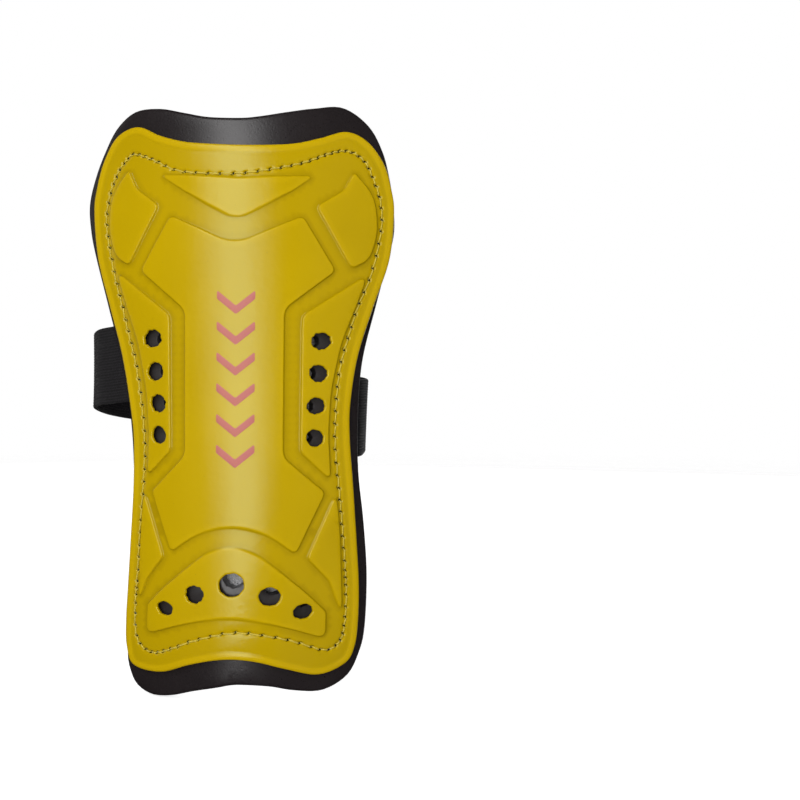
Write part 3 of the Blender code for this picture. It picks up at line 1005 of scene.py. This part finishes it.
def thread_material(name, light, dark, sheen):
    """Two-ply polyester thread, whose twist runs along the thread."""
    m = Material(name)
    place = m.length_and_width()
    along = m.times(m.axis(place, "X"), 2 * math.pi / 0.55)
    ply = m.spread(m.sine(m.plus(along, m.times(m.axis(place, "Y"), 4 * math.pi))), -1.0, 1.0)
    fibre = m.noise(m.scaled(place, (2.0, 9.0, 1.0)), 5.0, 2.0)
    base = m.coated(dark, (ply, light), (m.spread(fibre, 0.45, 0.8, 0.0, 0.5), dark))
    return m.finish({
        "Base Color": base, "Normal": m.bump(ply, 0.8, 0.0001), "Roughness": 0.5,
        "Sheen Weight": sheen,
    })


def tape_material(name, low, high, size):
    """Hook-and-loop tape: a woven ground with short fibres."""
    m = Material(name)
    fibre = m.noise(m.place(), size, 3.0, 0.7)
    return m.finish({
        "Base Color": m.mixed(m.spread(fibre, 0.35, 0.7), low, high),
        "Normal": m.bump(fibre, 0.6, 0.0003), "Roughness": 0.6, "Sheen Weight": 0.2,
    })


def ink_material():
    """Salmon screen-print ink, slightly worn so that the vinyl's colour tints it."""
    m = Material("screen_print_ink")
    place = m.place()
    wear, mesh_marks = m.noise(place, 500.0, 4.0, 0.7), m.noise(place, 2500.0, 1.0)
    worn = m.spread(wear, 0.5, 0.8, 0.0, 0.5)
    return m.finish({
        "Base Color": m.mixed(worn, rgb(0.565, 0.155, 0.135), rgb(0.60, 0.26, 0.12)),
        "Roughness": m.spread(wear, 0.3, 0.7, 0.42, 0.56),
        "Normal": m.bump(mesh_marks, 0.12, 0.0002), "IOR": 1.48,
    })


# ---- guard ---------------------------------------------------------------------------------

# Profiles of the layers' rims and of the holes through them: (inset or growth, depth).
SHELL_RIM = (
    (0.62, 0.0), (0.28, 0.10), (0.08, 0.34), (0.0, 0.70), (0.0, 1.45), (0.15, 1.80), (0.40, 2.0),
)
SHELL_BORE = ((0.40, 0.0), (0.14, 0.09), (0.02, 0.30), (0.0, 0.62), (0.85, 0.9), (1.25, 2.0))
FOAM_RIM = (
    (1.5, 0.0), (0.8, 0.14), (0.28, 0.52), (0.04, 1.15), (0.0, 2.0), (0.0, 3.2), (0.1, 4.1),
    (0.5, 4.75), (1.2, 5.0),
)
FOAM_BORE = ((0.5, 0.0), (0.12, 0.2), (0.0, 0.7), (0.0, 4.4), (0.35, 5.0))
LINING_RIM = ((0.35, 0.0), (0.0, 0.2), (0.0, 0.6), (0.35, 0.8))
INK_RIM = ((0.08, -INK_PROUD), (0.0, 0.02 - INK_PROUD), (0.0, INK_THICKNESS - INK_PROUD))

# Triangle sizes on the front and the back of each layer.
SHELL_STEPS = (1.7, 4.0)
FOAM_STEPS = (3.2, 3.2)
LINING_STEPS = (3.4, 2.6)
INK_STEPS = (0.9, 1.6)

# Where the shell's triangles follow its creases, as distances and shares of widths.
WALL_SHARES = (-1.0, -0.72, -0.45, -0.2, 0.0, 0.2, 0.45, 0.72, 1.0)
RIM_OFFSETS = (0.95, 1.35, 1.75, 2.15, 2.55, 2.95, 3.35, 3.75, 4.2)
SEAM_OFFSETS = (-1.3, -0.85, -0.45, 0.0, 0.45, 0.85, 1.3)
NEEDLE_RINGS = (0.55, 1.0, 1.5)
VENT_LIP = 0.42
VENT_RINGS = (0.45, 1.0)


def shell_features():
    """Points that follow the shell's creases, so that its triangles do too."""
    found = []
    angle = np.linspace(0.0, 2 * math.pi, 8, endpoint=False)
    for place, axis in zip(NEEDLES, NEEDLE_AXES):
        side = np.array([-axis[1], axis[0]])
        found.append([place])
        for size in NEEDLE_RINGS:
            along = size * NEEDLE_LONG * np.cos(angle)[:, None]
            across = size * NEEDLE_WIDE * np.sin(angle)[:, None]
            found.append(place + axis * along + side * across)
    for share in WALL_SHARES:
        found += [inset(loop, share * wall_width(loop)[:, None]) for loop in PANELS]
    found += [inset(SHELL_OUTLINE, offset) for offset in RIM_OFFSETS]
    found += [inset(SEAM_LINE, offset) for offset in SEAM_OFFSETS]
    for number, vent in enumerate(VENTS):
        found += [vent_loop(number, vent, VENT_LIP + grow) for grow in VENT_RINGS]
    return np.vstack(found)


def shell_rise(places):
    return relief(places) - NEEDLE_DEPTH * needle_pits(places)


def make_shell(mat):
    """The moulded shell, with marks on its front that its material reads as painted shade and painted
    highlight.
    """
    holes = [
        lambda grow, number=number, vent=vent: vent_loop(number, vent, grow)
        for number, vent in enumerate(VENTS)
    ]
    places, depths, raised, faces = plate(
        SHELL_OUTLINE, holes, SHELL_RIM, SHELL_BORE, SHELL_STEPS, shell_features(), shell_rise
    )
    at_front = depths < FRONT_DEPTH
    edge = distances(places, SHELL_OUTLINE)
    # plain marks the grooves between the panels, which the material darkens as painted shade.
    plain = np.clip(1 - raised / (PLAIN_SHARE * panel_height(places)), 0.0, 1.0)
    foot, crest_highlight = painted_wall_light(places)
    # Marks for the material: painted shade at the wall feet and in the grooves, painted highlight
    # along the walls' upper edges and the rim, and the needle pits painted dark for their shade and
    # the foam behind.
    marks = {
        "foot": foot * at_front,
        "crest_highlight": crest_highlight * at_front,
        "groove_shade": plain * at_front * (edge > RIM_WIDTH),
        "pit": needle_pits(places) * at_front,
        "rim": (1 - smooth((edge - RIM_WIDTH + RIM_MARK[0]) / RIM_MARK[1])) * at_front,
    }
    points = on_layer(places, depths - raised)
    return build("shell_skin", points, outward_faces(points, faces), mat, attributes=marks)


def chevron(number):
    top = CHEVRON_TOP - number * CHEVRON_PITCH
    half = (
        (0.0, top - CHEVRON_DROP, 0.5), (CHEVRON_HALF, top, 0.35),
        (CHEVRON_HALF, top - CHEVRON_STROKE, 0.35),
        (0.0, top - CHEVRON_DROP - CHEVRON_STROKE, 0.5),
    )
    return rounded(both_halves(half, half), 0.5)


def make_print(mat):
    heap = Heap()
    for number in range(CHEVRONS):
        places, depths, _, faces = plate(chevron(number), [], INK_RIM, (), INK_STEPS)
        points = on_layer(places, depths - relief(places))
        heap.add(points, outward_faces(points, faces))
    return heap.build("chevron_print", mat, 40.0)


def foam_vent(number, vent):
    """A hole through the foam, which doesn't line up with the shell's."""
    seed = FOAM_VENT_SEED + number
    if number in FOOT_VENT_SHIFTS:
        shift = FOOT_VENT_SHIFTS[number]
        return lambda grow: vent_loop(seed, vent, grow - FOOT_VENT_SHRINK, shift)
    aside, up = SIDE_VENT_SHIFT
    shift = (-math.copysign(aside, vent[0]), up)
    return lambda grow: vent_loop(seed, vent, grow - SIDE_VENT_SHRINK, shift)


def pressed_seam(places):
    """The dimple that the seam pulls into the foam and the lining, 0 to 1."""
    return np.exp(-((distances(places, SEAM_LINE) / SEAM_PRESS_WIDTH) ** 2))


def make_foam(mat):
    """The foam pad, dimpled at its back by the seam and dull where the shell's flanks hide it."""
    holes = [foam_vent(number, vent) for number, vent in enumerate(VENTS)]
    places, depths, _, faces = plate(FOAM_OUTLINE, holes, FOAM_RIM, FOAM_BORE, FOAM_STEPS)
    sunk = FOAM_PRESS * pressed_seam(places) * (depths > FOAM_THICKNESS - 0.1)
    points = on_layer(places, FOAM_DEPTH + depths - sunk)
    hidden = smooth((signed(places, SHELL_OUTLINE) - UNDER_FADE) / UNDER_FADE)
    marks = {"under": hidden * on_flank(places)}
    return build("foam_pad", points, outward_faces(points, faces), mat, 45.0, attributes=marks)


def make_lining(mat):
    edge = inset(FOAM_OUTLINE, LINING_INSET)
    places, depths, _, faces = plate(edge, [], LINING_RIM, (), LINING_STEPS)
    points = on_layer(places, LINING_DEPTH + depths - SEAM_PRESS * pressed_seam(places))
    return build("knit_lining", points, outward_faces(points, faces), mat, 45.0)


def dive(length, share):
    """0 at a stitch's ends, where it enters the layer, and 1 along its middle."""
    from_end = np.minimum(share, 1 - share) * length
    return smooth((from_end - DIVE_START) / DIVE_LENGTH)


def stitched(name, holes, closed, surface, radius, heights, mat):
    """Separate stitches from hole to hole, at the first of heights in a hole and then the second.

    surface(places, height) gives points above a face.
    """
    heap, share = Heap(), np.array(STITCH_SHARES)
    low, high = heights
    ends = np.roll(holes, -1, axis=0) if closed else holes[1:]
    for start, end in zip(holes, ends):
        span = end - start
        length = float(np.linalg.norm(span))
        across = np.array([-span[1], span[0]]) / length
        places = start + span * share[:, None]
        places = places + across * (STITCH_SLANT * (0.5 - share))[:, None]
        height = low + (high - low) * dive(length, share)
        path = surface(places, height)
        hint = surface(places, height + 1.0) - path
        tube, faces = sweep(path, radius, THREAD_SIDES, hint, STITCH_SQUASH)
        along = np.repeat(share * length, THREAD_SIDES)
        around = np.tile(np.arange(THREAD_SIDES) / THREAD_SIDES, len(share))
        heap.add(tube, faces, joined(along, around))
    return heap.build(name, mat)


def make_needle_thread(mat):
    def surface(places, height):
        return on_layer(places, -height - relief(places))

    return stitched("seam_stitches", NEEDLES, True, surface, THREAD_RADIUS, NEEDLE_THREAD, mat)


# ---- straps --------------------------------------------------------------------------------


class Route:
    """The middle line of a strap half, as in the CAD, in millimetres."""

    def __init__(self, points, turn, lean=0.0, lean_at=0.0):
        places = [
            (x, y, z) if y is not None else tuple(on_layer((x, z), STRAP_DEPTH))
            for x, y, z in points
        ]
        self.curve = through(places, 400)
        self.lengths = lengths_along(self.curve)
        self.turn, self.lean, self.lean_at = turn, lean, lean_at
        self.length = float(self.lengths[-1])

    def at(self, length):
        return places_along(self.curve, self.lengths, length)

    def place(self, length, sideways, offset):
        """Points at these lengths, this far across the band and this far out of its middle."""
        length = np.asarray(length, float)
        along = unit(self.at(length + 0.5) - self.at(length - 0.5))
        outward = joined(-along[..., 1], along[..., 0], 0 * along[..., 0])
        outward *= self.turn / np.linalg.norm(outward, axis=-1, keepdims=True)
        across = unit(np.cross(outward, along) * self.turn)
        sideways, offset = np.asarray(sideways, float), np.asarray(offset, float)
        twist = self.lean * np.exp(-(((length - self.lean_at) / LEAN_REACH) ** 2))
        offset = offset + twist * sideways * np.sign(across[..., 2])
        return self.at(length) + outward * offset[..., None] + across * sideways[..., None]


LONG = Route(LONG_ROUTE, 1)
SHORT = Route(SHORT_ROUTE, -1, SHORT_LEAN, SHORT_LEAN_AT)


def strap_section():
    """(across, out) points round the ribbed band's section."""
    thick = STRAP_THICKNESS / 2
    flat = STRAP_WIDTH / 2 - SELVEDGE_RADIUS
    across = np.linspace(-flat, flat, round(2 * flat / RIB_PITCH * RIB_POINTS) + 1)
    rib = RIB_HEIGHT * (np.abs(np.cos(math.pi * across / RIB_PITCH)) - 1)
    angle = np.linspace(-math.pi / 2, math.pi / 2, SELVEDGE_POINTS + 2)[1:-1]
    side = joined(flat + SELVEDGE_RADIUS * np.cos(angle), (thick - SELVEDGE_LOSS) * np.sin(angle))
    outer, inner = joined(across, thick + rib), joined(across, -(thick + rib))
    return np.vstack([inner, side, outer[::-1], side[::-1] * (-1, 1)])


def band(name, route, start, end, mat):
    """One closed piece of the ribbed band between two lengths."""
    section = strap_section()
    lengths = np.linspace(start, end, max(3, round((end - start) / STRAP_STEP)) + 1)
    sides, rings = len(section), len(lengths)
    s, across = np.repeat(lengths, sides), np.tile(section[:, 0], rings)
    points = route.place(s, across, np.tile(section[:, 1], rings))
    half = (sides - 2 * SELVEDGE_POINTS) // 2
    inner = list(range(half))
    outer = list(range(half + SELVEDGE_POINTS, 2 * half + SELVEDGE_POINTS))[::-1]
    cap = [(inner[i], inner[i + 1], outer[i + 1], outer[i]) for i in range(half - 1)]
    cap.append((inner[-1], *range(half, half + SELVEDGE_POINTS), outer[-1]))
    cap.append((outer[0], *range(2 * half + SELVEDGE_POINTS, sides), inner[0]))
    faces = tube_faces(rings, sides) + [face[::-1] for face in cap]
    faces += [tuple((rings - 1) * sides + i for i in face) for face in cap]
    uv = joined(s, across)
    return build(name, points, outward_faces(points, faces), mat, 55.0, uv=uv)


def patch_span(route):
    end = route.length - PATCH_END_MARGIN
    return end - PATCH_LENGTH, end


def tape(route, side, heights):
    """The woven ground of a hook or loop patch. heights is its (across, along) relief."""
    tall, wide = heights.shape
    across = np.linspace(-PATCH_WIDTH / 2, PATCH_WIDTH / 2, tall)
    s, w = (grid.ravel() for grid in np.meshgrid(np.linspace(*patch_span(route), wide), across))
    count = len(s)
    near = np.full(count, side * (PATCH_OFFSET - PATCH_THICKNESS / 2))
    far = side * (PATCH_OFFSET + heights.ravel())
    points = np.vstack([route.place(s, w, near), route.place(s, w, far)])
    faces = []
    for i in range(tall - 1):
        for a in range(i * wide, i * wide + wide - 1):
            quad = (a, a + 1, a + wide + 1, a + wide)
            faces += [quad, tuple(count + k for k in quad[::-1])]
    edge = [*range(wide), *range(2 * wide - 1, count, wide)]
    edge += [*range(count - 2, count - wide - 1, -1), *range(count - 2 * wide, 0, -wide)]
    for a, b in zip(edge, edge[1:] + edge[:1]):
        faces.append((b, b + count, a + count, a))
    return points, outward_faces(points, faces)


def make_hooks(mat):
    """The hook patch: rows of little bent hooks on a flat ground."""
    heap = Heap()
    heap.add(*tape(LONG, -1, np.full((23, 31), -0.25)))
    start, end = patch_span(LONG)
    rng = np.random.default_rng(SEED)
    reach, rise = HOOK_SHAPE.T
    height = PATCH_OFFSET - HOOK_ROOT + rise * (HOOK_HEIGHT - 0.25)
    for row, w in enumerate(np.arange(-PATCH_WIDTH / 2 + 1.2, PATCH_WIDTH / 2 - 1.0, HOOK_PITCH)):
        for s in np.arange(start + 1.2 + 0.5 * (row % 2), end - 1.0, HOOK_PITCH):
            facing = 1 if row % 2 else -1
            lengths = s + facing * reach * HOOK_HEIGHT * HOOK_REACH
            sides = w + rng.uniform(-HOOK_LEAN, HOOK_LEAN) * rise
            path = LONG.place(lengths, sides, -height)
            hint = LONG.place(lengths, sides + 1.0, -height) - path
            heap.add(*sweep(path, HOOK_RADIUS, 5, hint))
    return heap.build("hook_tape", mat)


def make_loops(mat):
    """The loop patch: a fuzzy pile of little arcs on a soft ground."""
    heap = Heap()
    rng = np.random.default_rng(SEED + 1)
    heap.add(*tape(SHORT, 1, rng.uniform(-0.32, -0.05, (45, 61))))
    start, end = patch_span(SHORT)
    reach = PATCH_WIDTH / 2 - LOOP_MARGIN
    t = np.linspace(0.0, math.pi, 7)
    for _ in range(LOOP_COUNT):
        s, w = rng.uniform(start + LOOP_MARGIN, end - LOOP_MARGIN), rng.uniform(-reach, reach)
        turn, size = rng.uniform(0, math.pi), rng.uniform(*LOOP_SIZE)
        lengths = s + size * np.cos(t) * math.cos(turn)
        sides = w + size * np.cos(t) * math.sin(turn)
        rise = PATCH_OFFSET - LOOP_ROOT + rng.uniform(*LOOP_RISE) * np.sin(t)
        path = SHORT.place(lengths, sides, rise)
        hint = SHORT.place(lengths, sides, rise + 1.0) - path + 0.01
        heap.add(*sweep(path, LOOP_RADIUS, 4, hint))
    return heap.build("loop_tape", mat)


def box_holes(half, start, end, pitch):
    """Needle holes round a box of stitching with a cross in it, as (length, across) places."""
    corners = np.array(
        [(start, -half), (end, -half), (end, half), (start, half), (start, -half), (end, half)]
    )
    found = []
    for a, b in zip(corners, corners[1:]):
        count = max(2, round(float(np.linalg.norm(b - a)) / pitch))
        found.append(a + (b - a) * np.linspace(0.0, 1.0, count, endpoint=False)[:, None])
    return np.vstack([*found, corners[-1:]])


def box_stitches(name, route, side, start, end, mat):
    """Box stitching that lies on one face of a strap half."""

    def surface(places, height):
        return route.place(places[:, 0], places[:, 1], side * (STRAP_THICKNESS / 2 + height))

    holes = box_holes(PATCH_WIDTH / 2 - TACK_INSET / 2, start, end, TACK_PITCH)
    return stitched(name, holes, False, surface, TACK_RADIUS, TACK_THREAD, mat)


def make_bobbin_thread(mat):
    """The seam's other side, on the lining, which climbs over the sewn ends of the strap."""
    (right, _, high), (left, _, low) = LONG_ROUTE[0], LONG_ROUTE[2]

    def surface(places, height):
        x, z = places[:, 0], places[:, 1]
        middle = np.where(x < 0, np.interp(x, (left, right), (low, high)), SHORT_ROUTE[1][2])
        over = 1 - smooth((np.abs(z - middle) - STRAP_WIDTH / 2) / 1.6)
        pressed = SEAM_PRESS * pressed_seam(places) * (1 - over)
        lift = over * (ANCHOR_GAP + STRAP_THICKNESS)
        return on_layer(places, STACK - pressed + lift + height)

    return stitched("seam_back_stitches", NEEDLES, True, surface, THREAD_RADIUS, BOBBIN_THREAD, mat)


def dress(obj, body, slot, *cad_nodes):
    """Rides a piece on a body, in place of its CAD nodes; slot is not used."""
    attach(obj, body)
    if cad_nodes:
        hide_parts(*cad_nodes)


def make_bands(mat):
    """The strap's bands, each one piece of its route between two lengths, in place of its CAD nodes.
    """
    pieces = (
        ("long_band_side", LONG, 0.0, 52.0, "guard", "long_side", 26.0, 38.0,
         ("long_strap_anchor", "long_strap_side")),
        ("long_band_back", LONG, 52.0, 95.0, "long_side", "long_back", 64.0, 80.0,
         ("long_strap_back",)),
        ("long_band_tip", LONG, 95.0, LONG.length, "long_back", "long_tip", 108.0, 128.0,
         ("long_strap_tip",)),
        ("short_band_side", SHORT, 0.0, 42.0, "guard", "short_side", 21.0, 32.0,
         ("short_strap_anchor", "short_strap_side")),
        ("short_band_tip", SHORT, 42.0, SHORT.length, "short_side", "short_tip", 50.0, 66.0,
         ("short_strap_tip",)),
    )
    for name, route, start, end, first, second, bend_start, bend_end, nodes in pieces:
        obj = band(name, route, start, end, mat)
        bend = [tuple(route.at(length) * MM) for length in (bend_start, bend_end)]
        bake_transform(obj)
        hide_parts(*nodes)


def make_patches(hook_mat, loop_mat, thread):
    """The hook and loop patches and the strap's box stitches."""
    dress(make_hooks(hook_mat), "long_tip", "hook_and_loop", "hook_patch")
    dress(make_loops(loop_mat), "short_tip", "hook_and_loop", "loop_patch")
    for name, route, side, (start, end), body, cad_node in (
        ("hook_tape_stitches", LONG, 1, patch_span(LONG), "long_tip", "hook_patch_stitching"),
        ("loop_tape_stitches", SHORT, -1, patch_span(SHORT), "short_tip", "loop_patch_stitching"),
    ):
        obj = box_stitches(name, route, side, start + TACK_INSET, end - TACK_INSET, thread)
        dress(obj, body, "strap_thread", cad_node)
    for name, route, cad_node in (
        ("long_tack_stitches", LONG, "long_strap_tack"),
        ("short_tack_stitches", SHORT, "short_strap_tack"),
    ):
        obj = box_stitches(name, route, -1, *ANCHOR_TACK, thread)
        dress(obj, "guard", "strap_thread", cad_node)


# ---- studio --------------------------------------------------------------------------------


def make_camera():
    data = bpy.data.cameras.new("camera")
    data.lens = CAMERA_LENS
    data.sensor_width = 36.0
    data.clip_start = 0.01
    data.clip_end = 20.0
    camera = bpy.data.objects.new("camera", data)
    camera.location = CAMERA_PLACE
    camera.rotation_euler = (math.pi / 2, CAMERA_ROLL, 0.0)
    bpy.context.scene.collection.objects.link(camera)
    bpy.context.scene.camera = camera


def softbox(name, place, target, width, height, radiance, glossy=True, roll=0.0, aside=0.0):
    """A rectangular light of an even radiance that faces the target, leant by roll.

    aside moves it along its own width once it has been turned.
    """
    data = bpy.data.lights.new(name, "AREA")
    data.shape = "RECTANGLE"
    data.size = width
    data.size_y = height
    data.energy = radiance * width * height * math.pi
    light = bpy.data.objects.new(name, data)
    aim = Vector(target) - Vector(place)
    turn = aim.to_track_quat("-Z", "Y") @ Quaternion((0.0, 0.0, 1.0), roll)
    light.location = Vector(place) + turn @ Vector((aside, 0.0, 0.0))
    light.rotation_euler = turn.to_euler()
    light.visible_glossy = glossy
    bpy.context.scene.collection.objects.link(light)


def make_world():
    """White behind the object; a dim even surround lights it and hardly shows in its gloss."""
    world = bpy.data.worlds.new("studio")
    bpy.context.scene.world = world
    world.use_nodes = True
    world.cycles.sampling_method = "NONE"
    n = Nodes(world.node_tree)
    seen = n.spread(n.add("LightPath", "Is Camera Ray", {}), 0.0, 1.0, SURROUND_LIGHT, 1.0)
    shine = n.spread(
        n.add("LightPath", "Is Glossy Ray", {}), 0.0, 1.0, 0.0, SURROUND_LIGHT - SURROUND_GLOSS
    )
    strength = n.math("SUBTRACT", seen, shine)
    n.fill(n.tree.nodes["Background"], {"Strength": strength, "Color": rgb(1.0, 1.0, 1.0)})


def make_floor():
    """A pale floor under the foot of the guard that fades into the white surround."""
    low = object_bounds()[0].z - FLOOR_CLEARANCE
    angle = np.linspace(0.0, 2 * math.pi, FLOOR_SIDES, endpoint=False)
    points = [(0.0, FLOOR_MIDDLE, low)]
    for radius in FLOOR_RINGS:
        points += [(radius * math.cos(a), FLOOR_MIDDLE + radius * math.sin(a), low) for a in angle]
    faces = []
    for i in range(FLOOR_SIDES):
        j = (i + 1) % FLOOR_SIDES
        faces.append((0, 1 + i, 1 + j))
        for a in range(1, 1 + (len(FLOOR_RINGS) - 1) * FLOOR_SIDES, FLOOR_SIDES):
            faces.append((a + i, a + FLOOR_SIDES + i, a + FLOOR_SIDES + j, a + j))
    m = Material("pale_floor")
    reach = m.add("VectorMath", "Value", {0: m.place()}, operation="LENGTH")
    fade = m.spread(reach, 0.35, 1.8, 1.0, 0.0, "SMOOTHSTEP")
    clear = m.add("BsdfTransparent", "BSDF", {})
    blend = m.add("MixShader", "Shader", {0: fade, 1: clear, 2: m.surface.outputs["BSDF"]})
    output = next(n for n in m.tree.nodes if n.type == "OUTPUT_MATERIAL")
    m.fill(output, {"Surface": blend})
    mat = m.finish({
        "Base Color": rgb(0.9, 0.9, 0.9), "Roughness": 0.9, "Specular IOR Level": 0.1,
        "Emission Color": rgb(1.0, 1.0, 1.0), "Emission Strength": 0.75,
    })
    floor = build("floor", np.array(points) / MM, faces, mat)
    floor.visible_glossy = False
    floor.visible_diffuse = False
    floor.visible_shadow = False


def make_studio():
    make_world()
    for number, (aside, width, radiance) in enumerate(KEY_STRIPS):
        softbox(
            f"key_{number}", KEY_PLACE, KEY_TARGET, width, KEY_HEIGHT, radiance,
            roll=KEY_LEAN, aside=aside,
        )
    for light in SOFTBOXES:
        softbox(*light)
    make_floor()
    bpy.context.scene.view_settings.view_transform = "Standard"


def main():
    make_camera()
    yellow = thread_material("yellow_thread", rgb(0.80, 0.66, 0.07), rgb(0.62, 0.47, 0.03), 0.2)
    black = thread_material(
        "black_thread", rgb(0.035, 0.033, 0.036), rgb(0.010, 0.009, 0.010), 0.1
    )
    dress(make_shell(vinyl_material()), "guard", "shell_vinyl", "shell")
    dress(make_print(ink_material()), "guard", "shell_print")
    dress(make_needle_thread(yellow), "guard", "seam_thread", "needle_thread")
    foam = make_foam(foam_material())
    dress(foam, "guard", "liner_foam", "foam_liner")
    lining = make_lining(knit_material())
    dress(lining, "guard", "lining_knit", "lining_fabric")
    dress(make_bobbin_thread(yellow), "guard", "seam_thread", "bobbin_thread")
    hooks = tape_material("hook_tape", rgb(0.006, 0.006, 0.007), rgb(0.030, 0.029, 0.032), 1400.0)
    loops = tape_material("loop_tape", rgb(0.008, 0.008, 0.009), rgb(0.045, 0.043, 0.047), 1900.0)
    make_bands(elastic_material())
    make_patches(hooks, loops, black)
    make_studio()


main()
